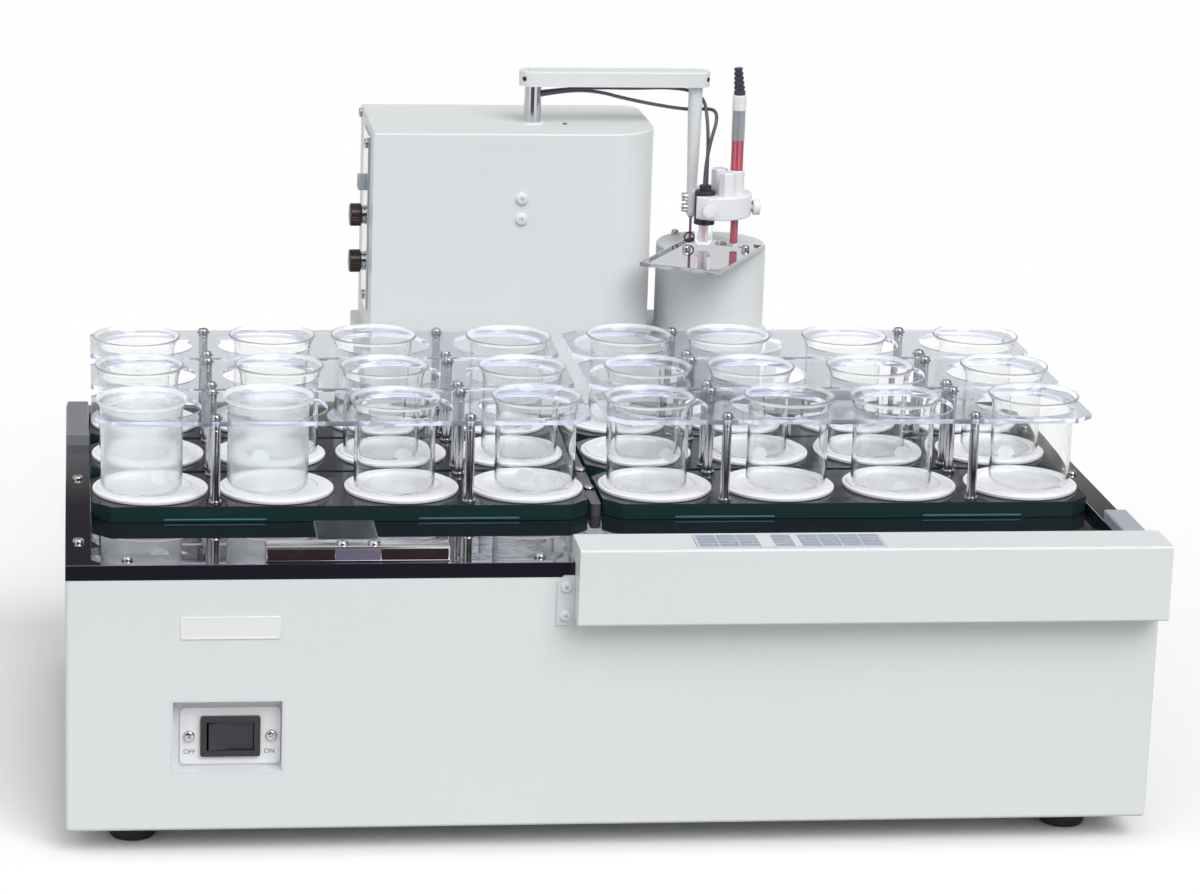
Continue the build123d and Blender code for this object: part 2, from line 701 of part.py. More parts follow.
# ---- Electrode holder: a round block cut flat on its left, with an open notch for the electrode ----
nut_places = [(left + 461.2, front + 390.0), (left + 458.1, front + 405.5), (probe_x, probe_y)]
screw_z = deck_top + 135.9
side_screw_z = deck_top + 134.9
knob_shank = 4.0
electrode_notch = electrode_body + 0.2
with BuildPart() as electrode_holder:
    disc(holder_x, holder_y, holder_low, holder_high, 2 * holder_radius)
    chamfer(electrode_holder.edges(), 0.8)
    block(
        (holder_x - holder_radius - 1, holder_flat),
        (holder_y - holder_radius, holder_y + holder_radius),
        (holder_low, holder_high),
        Mode.SUBTRACT,
    )
    disc(electrode_x, electrode_y, holder_low, holder_high, electrode_notch, Mode.SUBTRACT)
    block(
        (holder_flat - 1, electrode_x),
        (electrode_y - electrode_notch / 2, electrode_y + electrode_notch / 2),
        (holder_low, holder_high),
        Mode.SUBTRACT,
    )
    disc(rod_x, shaft_y, holder_low, holder_high, rod_low_diameter + 2 * fit, Mode.SUBTRACT)
    disc(probe_x, probe_y, holder_low, holder_high, probe_tube + 2 * fit, Mode.SUBTRACT)
    front_bore = forward(electrode_x, holder_y - holder_radius, screw_z)
    pin(front_bore, knob_shank + 4 * fit, -(electrode_y - holder_y + holder_radius), 0, Mode.SUBTRACT)
    side_bore = Plane((probe_x, probe_y, side_screw_z), x_dir=(0, 1, 0), z_dir=(1, 0, 0))
    pin(side_bore, knob_shank + 4 * fit, 0, holder_radius, Mode.SUBTRACT)
save(electrode_holder, "electrode_holder")

with BuildPart() as holder_nuts:
    for x, y in nut_places:
        with BuildSketch(upward(x, y, holder_high)):
            RegularPolygon(nut_width / 2, 6)
        extrude(amount=nut_height)
    chamfer(holder_nuts.faces().group_by(Axis.Z)[-1].edges(), 0.8)
    disc(probe_x, probe_y, holder_high, holder_high + nut_height, probe_tube + 2 * fit, Mode.SUBTRACT)
save(holder_nuts, "holder_nuts")

front_knob_face = holder_y - math.sqrt(holder_radius**2 - (electrode_x - holder_x) ** 2) - 1.6
with BuildPart() as thumbscrew_front:
    front_knob = forward(electrode_x, front_knob_face, screw_z)
    pin(front_knob, 9.5, 0, 5.5)
    fillet(thumbscrew_front.edges().group_by(Axis.Y)[0], 0.8)
    pin(front_knob, knob_shank, front_knob_face - (electrode_y - electrode_body / 2 - fit), 0)
save(thumbscrew_front, "thumbscrew_front")

side_knob_face = holder_x + math.sqrt(holder_radius**2 - (probe_y - holder_y) ** 2) + 1.0
with BuildPart() as thumbscrew_side:
    side_knob = Plane((side_knob_face, probe_y, side_screw_z), x_dir=(0, 1, 0), z_dir=(1, 0, 0))
    pin(side_knob, 11, 0, 5)
    fillet(thumbscrew_side.edges().group_by(Axis.X)[-1], 0.8)
    pin(side_knob, knob_shank, probe_x + probe_tube / 2 + 2 * fit - side_knob_face, 0)
save(thumbscrew_side, "thumbscrew_side")

# ---- Sensing electrode: a black capped body over a glass tube ----
cap_low, cap_high, gland_high = deck_top + 123.5, deck_top + 147.2, deck_top + 151.0
with BuildPart() as electrode_cap:
    disc(electrode_x, electrode_y, cap_low, cap_high, electrode_body)
    chamfer(electrode_cap.edges().group_by(Axis.Z)[-1], 0.8)
    disc(electrode_x, electrode_y, cap_high, gland_high, 8.4)
save(electrode_cap, "electrode_cap")

with BuildPart() as electrode_glass:
    disc(electrode_x, electrode_y, tip_height, cap_low, electrode_tube)
    fillet(electrode_glass.edges().group_by(Axis.Z)[0], 3)
save(electrode_glass, "electrode_glass")

# ---- Second probe: a filled tube through its nut, a connector and a strain relief boot ----
nut_top = holder_high + nut_height
bulb_high, connector_high, ferrule_high = deck_top + 182.8, deck_top + 204.3, deck_top + 215.0
boot_high = deck_top + 234.3
boot_lean = -1.8
with BuildPart() as probe_glass:
    disc(probe_x, probe_y, tip_height + 0.3, nut_top, probe_tube)
    fillet(probe_glass.edges().group_by(Axis.Z)[0], 1.2)
    disc(probe_x, probe_y, nut_top, bulb_high, 8.8)
save(probe_glass, "probe_glass")

with BuildPart() as probe_connector:
    disc(probe_x, probe_y, bulb_high, connector_high, 9.4)
    disc(probe_x, probe_y, connector_high, ferrule_high, 9.9)
    chamfer(probe_connector.edges().group_by(Axis.Z)[-1], 0.8)
save(probe_connector, "probe_connector")

with BuildPart() as probe_boot:
    with BuildSketch(upward(probe_x, probe_y, ferrule_high)):
        Circle(4.1)
    with BuildSketch(upward(probe_x + boot_lean, probe_y, boot_high)):
        Circle(3.0)
    loft()
save(probe_boot, "probe_boot")

# ---- Electrode leads: from the cap, past the rod and under the arm into the post ----
lead_diameter = 2.5
lead_a_route = [
    (110.9, 162.9, gland_high),
    (110.9, 162.9, 350.0),
    (115.2, 167.0, 369.0),
    (119.6, 171.5, 381.0),
    (119.4, 179.5, 387.0),
    (112.5, 186.8, 386.4),
    (101.5, 189.2, 385.2),
    (80.0, 187.2, 388.6),
    (54.0, 184.0, 394.2),
    (37.0, 181.3, 399.2),
    (15.5, 179.6, 400.6),
    (-5.5, 178.9, 396.8),
]
lead_b_route = [
    (112.9, 166.1, gland_high),
    (112.9, 166.1, 350.0),
    (113.6, 170.9, 369.0),
    (113.2, 177.5, 384.0),
    (112.0, 186.6, 394.0),
    (102.5, 190.6, 399.2),
    (84.0, 188.2, 401.2),
    (62.0, 186.8, 400.6),
    (38.0, 185.4, 401.3),
    (16.0, 183.6, 400.8),
    (-5.5, 182.1, 398.6),
]


def bend_radii(route):
    """Radius of the arc at each inner point: 0.45 of the shorter run over the tangent of half the turn."""
    radii = []
    for before, here, after in zip(route, route[1:], route[2:]):
        arriving, leaving = Vector(here) - Vector(before), Vector(after) - Vector(here)
        half_turn = math.radians(arriving.get_angle(leaving)) / 2
        radii.append(0.45 * min(arriving.length, leaving.length) / math.tan(half_turn))
    return radii


def make_lead(route, name):
    radii = bend_radii(route)
    with BuildPart() as lead:
        with BuildLine():
            path = FilletPolyline(*route, radius=radii)
        with BuildSketch(Plane(path @ 0, z_dir=path % 0)):
            Circle(lead_diameter / 2)
        sweep()
    save(lead, name)
    expected = math.pi * lead_diameter**2 / 4 * path.length
    print(name, "length", round(path.length, 1), "volume share", round(lead.part.volume / expected, 4))
    print("  radii", [round(radius, 1) for radius in radii])


make_lead(lead_a_route, "electrode_lead_a")
make_lead(lead_b_route, "electrode_lead_b")

# ---- Rinse housing and the drip tray on it ----
with BuildPart() as rinse_housing:
    disc(rinse_x, rinse_y, pedestal_top, rinse_top, 2 * rinse_radius)
    chamfer(rinse_housing.edges().group_by(Axis.Z)[-1], 1.0)
    disc(rinse_x, rinse_y, pedestal_top, pedestal_top + 4, 2 * rinse_radius + 3)
    disc(rinse_x, rinse_y, pedestal_top, rinse_top - tower_wall, 2 * (rinse_radius - tower_wall), Mode.SUBTRACT)
    for place in rinse_screws + drip_screws:
        pin(place, shank_hole, -screw_length - drip_sheet, 0, Mode.SUBTRACT)
save(rinse_housing, "rinse_housing")

drip_angle = math.radians(drip_turn)
drip_plane = Plane(
    (drip_x, drip_y, rinse_top), x_dir=(math.cos(drip_angle), math.sin(drip_angle), 0), z_dir=(0, 0, 1)
)
with BuildPart() as drip_tray:
    with BuildSketch(drip_plane):
        Rectangle(drip_long, drip_short)
    extrude(amount=drip_rim)
    with BuildSketch(drip_plane.offset(drip_sheet)):
        Rectangle(drip_long - 2 * drip_sheet, drip_short - 2 * drip_sheet)
    extrude(amount=drip_rim, mode=Mode.SUBTRACT)
    for place in drip_screws:
        pin(place, shank_hole, -screw_length, 0, Mode.SUBTRACT)
save(drip_tray, "drip_tray")

# ---- Electronics on the casing floor ----
casing_floor = foot_height + sheet
with BuildPart() as power_supply:
    block((-310, -190), (10, 90), (casing_floor, casing_floor + 45))
    block((-310, -190), (-2, 10), (casing_floor, casing_floor + 14))
save(power_supply, "power_supply")

with BuildPart() as control_board:
    block((40, 240), (-150, -40), (casing_floor + 10, casing_floor + 11.6))
    for x, y in ((46, -144), (234, -144), (46, -46), (234, -46)):
        disc(x, y, casing_floor, casing_floor + 10, 6)
    for xs in ((70, 105), (130, 150), (180, 220)):
        block(xs, (-110, -80), (casing_floor + 11.6, casing_floor + 18))
save(control_board, "control_board")

# ---- Pan head screws: chrome on the deck and trays, painted and larger on the tower front ----
tower_screw_head = 8.6
small_screws = rail_screws + divider_screws + bracket_screws + plate_screws + rinse_screws + drip_screws
with BuildPart() as pan_head_screws:
    for place in small_screws + connector_plate_screws:
        pan_screw(place)
    for place in tower_screws:
        pan_screw(place, tower_screw_head)
save(pan_head_screws, "pan_head_screws")
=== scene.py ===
"""Looks of a bench sample changer for titration: a long white casing with a black deck, six racks of glass
beakers, and a tower behind them whose arm holds two electrodes over a drip tray. Lengths are in metres."""

import math

import bpy
from mathutils import Matrix, Vector


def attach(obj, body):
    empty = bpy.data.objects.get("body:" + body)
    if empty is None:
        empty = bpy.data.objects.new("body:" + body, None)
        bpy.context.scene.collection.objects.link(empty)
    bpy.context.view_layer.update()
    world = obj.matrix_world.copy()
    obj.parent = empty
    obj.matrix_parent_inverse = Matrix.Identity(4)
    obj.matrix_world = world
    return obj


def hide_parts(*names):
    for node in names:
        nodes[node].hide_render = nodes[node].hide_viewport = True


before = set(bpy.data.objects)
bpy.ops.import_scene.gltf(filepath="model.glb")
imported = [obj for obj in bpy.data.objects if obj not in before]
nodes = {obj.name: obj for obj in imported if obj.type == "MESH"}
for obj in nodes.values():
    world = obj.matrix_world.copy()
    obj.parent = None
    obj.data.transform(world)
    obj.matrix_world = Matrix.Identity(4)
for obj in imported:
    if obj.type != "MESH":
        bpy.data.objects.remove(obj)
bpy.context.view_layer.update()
mm = 0.001

# ---- Camera ----
# The camera stands in front of the left half, a little above the tower, and looks down on the deck. Its
# lens is long and shifted, so the casing's front stays almost square.
camera_stand = (-0.3308, -2.3201, 0.8437)
camera_tilt = (76.27, -1.28, -5.48)
film_width, focal_length = 36, 109.65
bpy.ops.object.select_all(action="DESELECT")
bpy.ops.object.camera_add(location=camera_stand, rotation=[math.radians(angle) for angle in camera_tilt])
camera = bpy.context.object
camera.name = "view_camera"
camera.data.sensor_width, camera.data.lens = film_width, focal_length
camera.data.shift_x, camera.data.shift_y = 0.14, -0.10
camera.data.clip_end = 200
scene = bpy.context.scene
scene.camera = camera
scene.view_settings.view_transform = "Standard"
scene.cycles.max_bounces = 32
scene.cycles.transmission_bounces = 32
scene.cycles.transparent_max_bounces = 48


# ---- Light, backdrop and floor ----
# Two wide soft lamps hang over the bench, the stronger one on the right. The room is white to the eye, and
# a dark band of ceiling and tall dark walls between white softboxes show only in polished metal and glass.
room_light = 0.62


def lamp(name, towards, power, spread):
    bpy.ops.object.light_add(type="SUN", location=(0, 0, 3))
    made = bpy.context.object
    made.name = name
    made.rotation_euler = Vector(towards).to_track_quat("Z", "Y").to_euler()
    made.data.energy = power
    made.data.angle = math.radians(spread)
    return made


lamp("soft_lamp_right", towards=(0.30, -0.64, 0.71), power=1.8, spread=40)
lamp("soft_lamp_left", towards=(-0.55, -0.50, 0.67), power=0.6, spread=60)


def chain(nodes_of, kind, *inputs, **settings):
    """Adds a node, sets its properties, and links or fills its inputs in order. Returns its first output."""
    made = nodes_of.nodes.new(kind)
    for key, value in settings.items():
        setattr(made, key, value)
    for socket, value in zip(made.inputs, inputs):
        if isinstance(value, bpy.types.NodeSocket):
            nodes_of.links.new(value, socket)
        elif value is not None:
            socket.default_value = value
    return made.outputs[0]


room = bpy.data.worlds.new("studio_room")
scene.world = room
room.use_nodes = True
tree = room.node_tree
tree.nodes.clear()
facing = tree.nodes.new("ShaderNodeTexCoord").outputs["Generated"]
parts = tree.nodes.new("ShaderNodeSeparateXYZ")
tree.links.new(facing, parts.inputs[0])
across, deep, up = parts.outputs
towards_front = chain(tree, "ShaderNodeMath", deep, -1.0, operation="MULTIPLY")
turn = chain(tree, "ShaderNodeMath", across, towards_front, operation="ARCTAN2")


def shades(nodes_of, value, stops):
    """A ramp of greys over 0 to 1, from pairs of a position and a brightness."""
    ramp = nodes_of.nodes.new("ShaderNodeValToRGB")
    nodes_of.links.new(value, ramp.inputs[0])
    for _ in stops[2:]:
        ramp.color_ramp.elements.new(0.5)
    for stop, (where, bright) in zip(ramp.color_ramp.elements, stops):
        stop.position, stop.color = where, (bright, bright, bright, 1)
    return ramp.outputs[0]


ceiling = shades(tree, up, ((0.0, 1.0), (0.225, 1.0), (0.285, 0.05), (0.5, 0.05), (0.62, 1.0)))


def softboxes(nodes_of, turn):
    """How bright the room is at each heading, from behind by way of the left, the front and the right."""
    around = chain(nodes_of, "ShaderNodeMath", turn, 1 / math.tau, 0.5, operation="MULTIPLY_ADD")
    white_behind = ((0.0, 1.0), (0.12, 1.0))
    grey_left_wall = ((0.16, 0.7), (0.30, 0.6))
    left_softbox = ((0.33, 1.0), (0.385, 1.0))
    dark_front = ((0.405, 0.1), (0.53, 0.06))
    right_softbox = ((0.55, 1.0), (0.64, 1.0))
    dim_right_wall = ((0.655, 0.25), (0.84, 0.45), (0.90, 1.0))
    walls = white_behind + grey_left_wall + left_softbox + dark_front + right_softbox + dim_right_wall
    return shades(nodes_of, around, walls)


room_shade = chain(tree, "ShaderNodeMath", ceiling, softboxes(tree, turn), operation="MULTIPLY")
path = tree.nodes.new("ShaderNodeLightPath").outputs
unmirrored = chain(tree, "ShaderNodeMath", path["Glossy Depth"], 0.5, operation="LESS_THAN")
through = chain(tree, "ShaderNodeMath", path["Is Transmission Ray"], unmirrored, operation="MULTIPLY")
open_view = chain(tree, "ShaderNodeMath", path["Is Camera Ray"], through, operation="MAXIMUM")
in_mirror = chain(
    tree, "ShaderNodeMath", path["Is Glossy Ray"], path["Is Transmission Ray"], operation="MAXIMUM"
)
soft = tree.nodes.new("ShaderNodeMix")
tree.links.new(in_mirror, soft.inputs["Factor"])
soft.inputs[2].default_value = room_light
tree.links.new(room_shade, soft.inputs[3])
final = tree.nodes.new("ShaderNodeMix")
tree.links.new(open_view, final.inputs["Factor"])
tree.links.new(soft.outputs[0], final.inputs[2])
final.inputs[3].default_value = 1.0
glow = tree.nodes.new("ShaderNodeBackground")
tree.links.new(final.outputs[0], glow.inputs["Strength"])
tree.links.new(glow.outputs[0], tree.nodes.new("ShaderNodeOutputWorld").inputs["Surface"])

bpy.ops.mesh.primitive_grid_add(x_subdivisions=2, y_subdivisions=2, size=60, location=(0, 0, 0))
floor = bpy.context.object
floor.name = "bench_floor"
bpy.ops.object.transform_apply()
floor_paint = bpy.data.materials.new("pale_bench")
floor_paint.use_nodes = True
pale = floor_paint.node_tree.nodes["Principled BSDF"]
paint_tree = floor_paint.node_tree
rays = paint_tree.nodes.new("ShaderNodeLightPath").outputs
place = paint_tree.nodes.new("ShaderNodeTexCoord").outputs["Object"]
spot = paint_tree.nodes.new("ShaderNodeSeparateXYZ")
paint_tree.links.new(place, spot.inputs[0])
to_front = chain(paint_tree, "ShaderNodeMath", spot.outputs[1], -1.0, operation="MULTIPLY")
heading = chain(paint_tree, "ShaderNodeMath", spot.outputs[0], to_front, operation="ARCTAN2")
apart = paint_tree.nodes.new("ShaderNodeVectorMath")
apart.operation = "LENGTH"
paint_tree.links.new(place, apart.inputs[0])
near_edge, far_edge = 0.62, 0.8
edge = paint_tree.nodes.new("ShaderNodeMapRange")
paint_tree.links.new(apart.outputs["Value"], edge.inputs["Value"])
edge.inputs["From Min"].default_value, edge.inputs["From Max"].default_value = near_edge, far_edge


def mixed(nodes_of, factor, first, second):
    """A mix of two colours, each a value or a link."""
    made = nodes_of.nodes.new("ShaderNodeMix")
    made.data_type = "RGBA"
    for socket, value in ((made.inputs[0], factor), (made.inputs[6], first), (made.inputs[7], second)):
        if isinstance(value, bpy.types.NodeSocket):
            nodes_of.links.new(value, socket)
        else:
            socket.default_value = value
    return made.outputs[2]


seen_white, mirrored_white, bounced_grey = [(shade, shade, shade, 1) for shade in (0.98, 0.93, 0.42)]
mirrored = mixed(paint_tree, edge.outputs[0], mirrored_white, softboxes(paint_tree, heading))
bench = mixed(paint_tree, rays["Is Glossy Ray"], bounced_grey, mirrored)
eye, clear_path = rays["Is Camera Ray"], rays["Is Transmission Ray"]
in_view = chain(paint_tree, "ShaderNodeMath", eye, clear_path, operation="MAXIMUM")
paint_tree.links.new(mixed(paint_tree, in_view, bench, seen_white), pale.inputs["Base Color"])
pale.inputs["Roughness"].default_value = 0.85
pale.inputs["Specular IOR Level"].default_value = 0.1
floor.data.materials.append(floor_paint)


# ---- Electrode leads ----
# Two thin soft leads come out of the sensing electrode's gland, climb past the rod, and run under the arm
# into a hole in the post. They are a drawn flexible jacket, dark grey, with a skin that drifts a little in
# shade and gloss and has a fine grain, as every moulded, painted or plated skin here does.
def tone(red, green, blue):
    """A display colour, 0 to 255, as the linear colour that a shader takes."""
    shares = [value / 255 for value in (red, green, blue)]
    return (*(share / 12.92 if share <= 0.04045 else ((share + 0.055) / 1.055) ** 2.4 for share in shares), 1)


skin = bpy.data.node_groups.new("skin_variation", "ShaderNodeTree")
for name, kind, value in (
    ("Place", "NodeSocketVector", None),
    ("Colour", "NodeSocketColor", (0.8, 0.8, 0.8, 1)),
    ("Worn Colour", "NodeSocketColor", (0.7, 0.7, 0.7, 1)),
    ("Drift", "NodeSocketFloat", 0.2),
    ("Gloss Low", "NodeSocketFloat", 0.3),
    ("Gloss High", "NodeSocketFloat", 0.45),
    ("Grain", "NodeSocketFloat", 900.0),
    ("Cloud", "NodeSocketFloat", 7.0),
):
    socket = skin.interface.new_socket(name=name, in_out="INPUT", socket_type=kind)
    if value is not None:
        socket.default_value = value
for name, kind in (
    ("Colour", "NodeSocketColor"), ("Roughness", "NodeSocketFloat"), ("Height", "NodeSocketFloat")
):
    skin.interface.new_socket(name=name, in_out="OUTPUT", socket_type=kind)
given, wanted = skin.nodes.new("NodeGroupInput").outputs, skin.nodes.new("NodeGroupOutput").inputs
cloud = skin.nodes.new("ShaderNodeTexNoise")
smudge = skin.nodes.new("ShaderNodeTexNoise")
fine = skin.nodes.new("ShaderNodeTexNoise")
for noise, scale, detail in ((cloud, given["Cloud"], 5), (fine, given["Grain"], 2)):
    skin.links.new(given["Place"], noise.inputs["Vector"])
    skin.links.new(scale, noise.inputs["Scale"])
    noise.inputs["Detail"].default_value = detail
skin.links.new(given["Place"], smudge.inputs["Vector"])
smudge.inputs["Scale"].default_value = 34
smudge.inputs["Detail"].default_value = 4
amount = chain(skin, "ShaderNodeMath", cloud.outputs[0], given["Drift"], operation="MULTIPLY")
blend = skin.nodes.new("ShaderNodeMix")
blend.data_type = "RGBA"
skin.links.new(amount, blend.inputs["Factor"])
skin.links.new(given["Colour"], blend.inputs[6])
skin.links.new(given["Worn Colour"], blend.inputs[7])
skin.links.new(blend.outputs[2], wanted["Colour"])
gloss = skin.nodes.new("ShaderNodeMapRange")
skin.links.new(smudge.outputs[0], gloss.inputs["Value"])
gloss.inputs["From Min"].default_value, gloss.inputs["From Max"].default_value = 0.3, 0.7
skin.links.new(given["Gloss Low"], gloss.inputs["To Min"])
skin.links.new(given["Gloss High"], gloss.inputs["To Max"])
skin.links.new(gloss.outputs[0], wanted["Roughness"])
skin.links.new(fine.outputs[0], wanted["Height"])


def finish_of(name, colour, worn, gloss_range, drift=0.5, grain=900, cloud_scale=7, bump=0.02, **values):
    """A material made of the group above and a Principled shader, whose other sockets take the values."""
    made = bpy.data.materials.new(name)
    made.use_nodes = True
    net = made.node_tree
    shader = net.nodes["Principled BSDF"]
    place = net.nodes.new("ShaderNodeTexCoord").outputs["Object"]
    vary = net.nodes.new("ShaderNodeGroup")
    vary.node_tree = skin
    net.links.new(place, vary.inputs["Place"])
    vary.inputs["Colour"].default_value = colour
    vary.inputs["Worn Colour"].default_value = worn
    vary.inputs["Drift"].default_value = drift
    vary.inputs["Gloss Low"].default_value, vary.inputs["Gloss High"].default_value = gloss_range
    vary.inputs["Grain"].default_value = grain
    vary.inputs["Cloud"].default_value = cloud_scale
    net.links.new(vary.outputs["Colour"], shader.inputs["Base Color"])
    net.links.new(vary.outputs["Roughness"], shader.inputs["Roughness"])
    if bump:
        relief = net.nodes.new("ShaderNodeBump")
        relief.inputs["Strength"].default_value = bump
        relief.inputs["Distance"].default_value = 0.0002
        net.links.new(vary.outputs["Height"], relief.inputs["Height"])
        net.links.new(relief.outputs[0], shader.inputs["Normal"])
    for key, value in values.items():
        shader.inputs[key.replace("_", " ")].default_value = value
    return made


def coat(piece, material):
    """Gives a piece or a CAD node one finish all over."""
    piece.data.materials.clear()
    piece.data.materials.append(material)
    return piece


def fixed(piece, body, slot, material, *stands_for):
    """A finished piece: its finish, the body it is fixed to, its slot (not used), and the plain solids it
    stands for.
    """
    coat(piece, material)
    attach(piece, body)
    if stands_for:
        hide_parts(*stands_for)
    return piece


lead_jacket = finish_of(
    "lead_jacket", tone(92, 88, 98), tone(66, 68, 76), (0.34, 0.46), grain=2500, bump=0.08, Coat_Weight=0.3
)
lead_routes = {
    "electrode_lead_a": [
        (0.1109, 0.1629, 0.3360),
        (0.1109, 0.1629, 0.3500),
        (0.1152, 0.1670, 0.3690),
        (0.1196, 0.1715, 0.3810),
        (0.1194, 0.1795, 0.3870),
        (0.1125, 0.1868, 0.3864),
        (0.1015, 0.1892, 0.3852),
        (0.0800, 0.1872, 0.3886),
        (0.0540, 0.1840, 0.3942),
        (0.0370, 0.1813, 0.3992),
        (0.0155, 0.1796, 0.4006),
        (-0.0055, 0.1789, 0.3968),
    ],
    "electrode_lead_b": [
        (0.1129, 0.1661, 0.3360),
        (0.1129, 0.1661, 0.3500),
        (0.1136, 0.1709, 0.3690),
        (0.1132, 0.1775, 0.3840),
        (0.1120, 0.1866, 0.3940),
        (0.1025, 0.1906, 0.3992),
        (0.0840, 0.1882, 0.4012),
        (0.0620, 0.1868, 0.4006),
        (0.0380, 0.1854, 0.4013),
        (0.0160, 0.1836, 0.4008),
        (-0.0055, 0.1821, 0.3986),
    ],
}
lead_diameter = 0.0025
for name, route in lead_routes.items():
    curve = bpy.data.curves.new(name + "_jacket", "CURVE")
    curve.dimensions = "3D"
    spline = curve.splines.new("NURBS")
    spline.points.add(len(route) - 1)
    for point, place in zip(spline.points, route):
        point.co = (*place, 1)
    spline.order_u = 3
    spline.use_endpoint_u = True
    curve.resolution_u = 16
    curve.bevel_depth = lead_diameter / 2
    curve.bevel_resolution = 4
    curve.use_fill_caps = True
    lead = bpy.data.objects.new(name + "_jacket", curve)
    scene.collection.objects.link(lead)
    fixed(lead, "arm", "lead_jacket", lead_jacket, name)

# ---- Casing ----
# A tub folded from steel sheet, welded at its corners and powder coated a cool white. A plain pressed
# plate is glued near the top left of its front, with nothing printed on it.
white_paint = finish_of(
    "white_paint", tone(229, 232, 233), tone(219, 222, 224), (0.36, 0.46), drift=0.35, grain=1400,
    cloud_scale=4, bump=0.05
)
for name in ("casing_shell", "tower_shell", "rear_pedestal", "control_panel"):
    coat(nodes[name], white_paint)


def edit_faces(piece, chosen):
    """Opens a piece in edit mode with only the faces that chosen() picks selected."""
    bpy.ops.object.select_all(action="DESELECT")
    piece.select_set(True)
    bpy.context.view_layer.objects.active = piece
    bpy.ops.object.mode_set(mode="EDIT")
    bpy.ops.mesh.select_mode(type="FACE")
    bpy.ops.mesh.select_all(action="DESELECT")
    bpy.ops.object.mode_set(mode="OBJECT")
    for face in piece.data.polygons:
        face.select = chosen(face)
    bpy.ops.object.mode_set(mode="EDIT")


def done(piece, angle=35):
    """Closes edit mode, puts the place into the mesh, points the faces out and smooths what is round."""
    if bpy.context.object.mode == "EDIT":
        bpy.ops.object.mode_set(mode="OBJECT")
    bpy.ops.object.select_all(action="DESELECT")
    piece.select_set(True)
    bpy.context.view_layer.objects.active = piece
    bpy.ops.object.transform_apply()
    bpy.ops.object.mode_set(mode="EDIT")
    bpy.ops.mesh.select_all(action="SELECT")
    bpy.ops.mesh.remove_doubles(threshold=1e-6)
    bpy.ops.mesh.normals_make_consistent(inside=False)
    bpy.ops.object.mode_set(mode="OBJECT")
    bpy.ops.object.shade_smooth_by_angle(angle=math.radians(angle))
    return piece


def softened(piece, width, segments=2):
    """Rounds a piece's sharp edges with a bevel, which is then made part of the mesh."""
    bevel = piece.modifiers.new("edge", "BEVEL")
    bevel.width, bevel.segments, bevel.limit_method = width, segments, "ANGLE"
    bevel.angle_limit = math.radians(40)
    bpy.context.view_layer.objects.active = piece
    bpy.ops.object.modifier_apply(modifier=bevel.name)
    return piece


def plate(name, low, high, round_edge, segments=2):
    """A small slab between two corners, in mm, with softened edges."""
    bpy.ops.object.select_all(action="DESELECT")
    middle = [(a + b) / 2 * mm for a, b in zip(low, high)]
    bpy.ops.mesh.primitive_cube_add(size=1, location=middle, scale=[(b - a) * mm for a, b in zip(low, high)])
    made = bpy.context.object
    made.name = name
    bpy.ops.object.transform_apply()
    softened(made, round_edge * mm, segments)
    return done(made)


blank_plate = plate("blank_plate", (-266.2, -233.2, 138.3), (-206.0, -232.5, 152.5), 0.3)
edit_faces(blank_plate, lambda face: face.normal.y < -0.9 and face.area > 1e-4)
bpy.ops.mesh.inset(thickness=0.0008, depth=0)
bpy.ops.mesh.inset(thickness=0.0002, depth=-0.00015)
done(blank_plate)
pressed_plate = finish_of(
    "pressed_plate", tone(240, 241, 241), tone(232, 233, 233), (0.26, 0.36), grain=2200, bump=0.02
)
fixed(blank_plate, "frame", "white_paint", pressed_plate)


# ---- Rubber feet ----
# Moulded black rubber feet, a little wider at the top, with a rounded tread and a recess for the screw that
# holds each one to the sheet above it.
def turned(name, rings, around=48):
    """A turned solid on the z axis: a disc drawn out ring by ring, each ring a radius and a height in mm."""
    (radius, height), *rest = rings
    bpy.ops.object.select_all(action="DESELECT")
    bpy.ops.mesh.primitive_circle_add(
        vertices=around, radius=radius * mm, fill_type="NGON", location=(0, 0, height * mm)
    )
    made = bpy.context.object
    made.name = name
    bpy.ops.object.mode_set(mode="EDIT")
    bpy.ops.mesh.select_all(action="SELECT")
    for next_radius, next_height in rest:
        bpy.ops.mesh.extrude_region_move(
            TRANSFORM_OT_translate={"value": (0, 0, (next_height - height) * mm)}
        )
        share = next_radius / radius
        bpy.ops.transform.resize(value=(share, share, 1), center_override=(0, 0, next_height * mm))
        radius, height = next_radius, next_height
    return done(made)


def copies(pattern, name, places):
    """Copies of a pattern piece, each moved by its own matrix, joined into one mesh."""
    made = []
    for place in places:
        bpy.ops.object.select_all(action="DESELECT")
        pattern.select_set(True)
        bpy.context.view_layer.objects.active = pattern
        bpy.ops.object.duplicate(linked=False)
        copy = bpy.context.object
        copy.matrix_world = place
        bpy.ops.object.transform_apply()
        made.append(copy)
    bpy.ops.object.select_all(action="DESELECT")
    for copy in made:
        copy.select_set(True)
    bpy.context.view_layer.objects.active = made[0]
    if len(made) > 1:
        bpy.ops.object.join()
    made[0].name = name
    return made[0]


def placed(x, y, z, *turns):
    """A place in mm, then turned by pairs of one of its own axes and an angle in degrees."""
    place = Matrix.Translation((x * mm, y * mm, z * mm))
    for axis, angle in turns:
        place = place @ Matrix.Rotation(math.radians(angle), 4, axis)
    return place


def at(x, y, z, turn=0.0):
    """A place turned about its own z axis."""
    return placed(x, y, z, ("Z", turn))


def facing_front(x, y, z, turn=0.0):
    """A place whose z axis points out of the front."""
    return placed(x, y, z, ("X", 90), ("Z", turn))


def facing_left(x, y, z, turn=0.0):
    """A place whose z axis points out of the left side."""
    return placed(x, y, z, ("Y", -90), ("Z", turn))


def discard(*patterns):
    """Takes away patterns that have been copied."""
    for pattern in patterns:
        bpy.data.objects.remove(pattern)


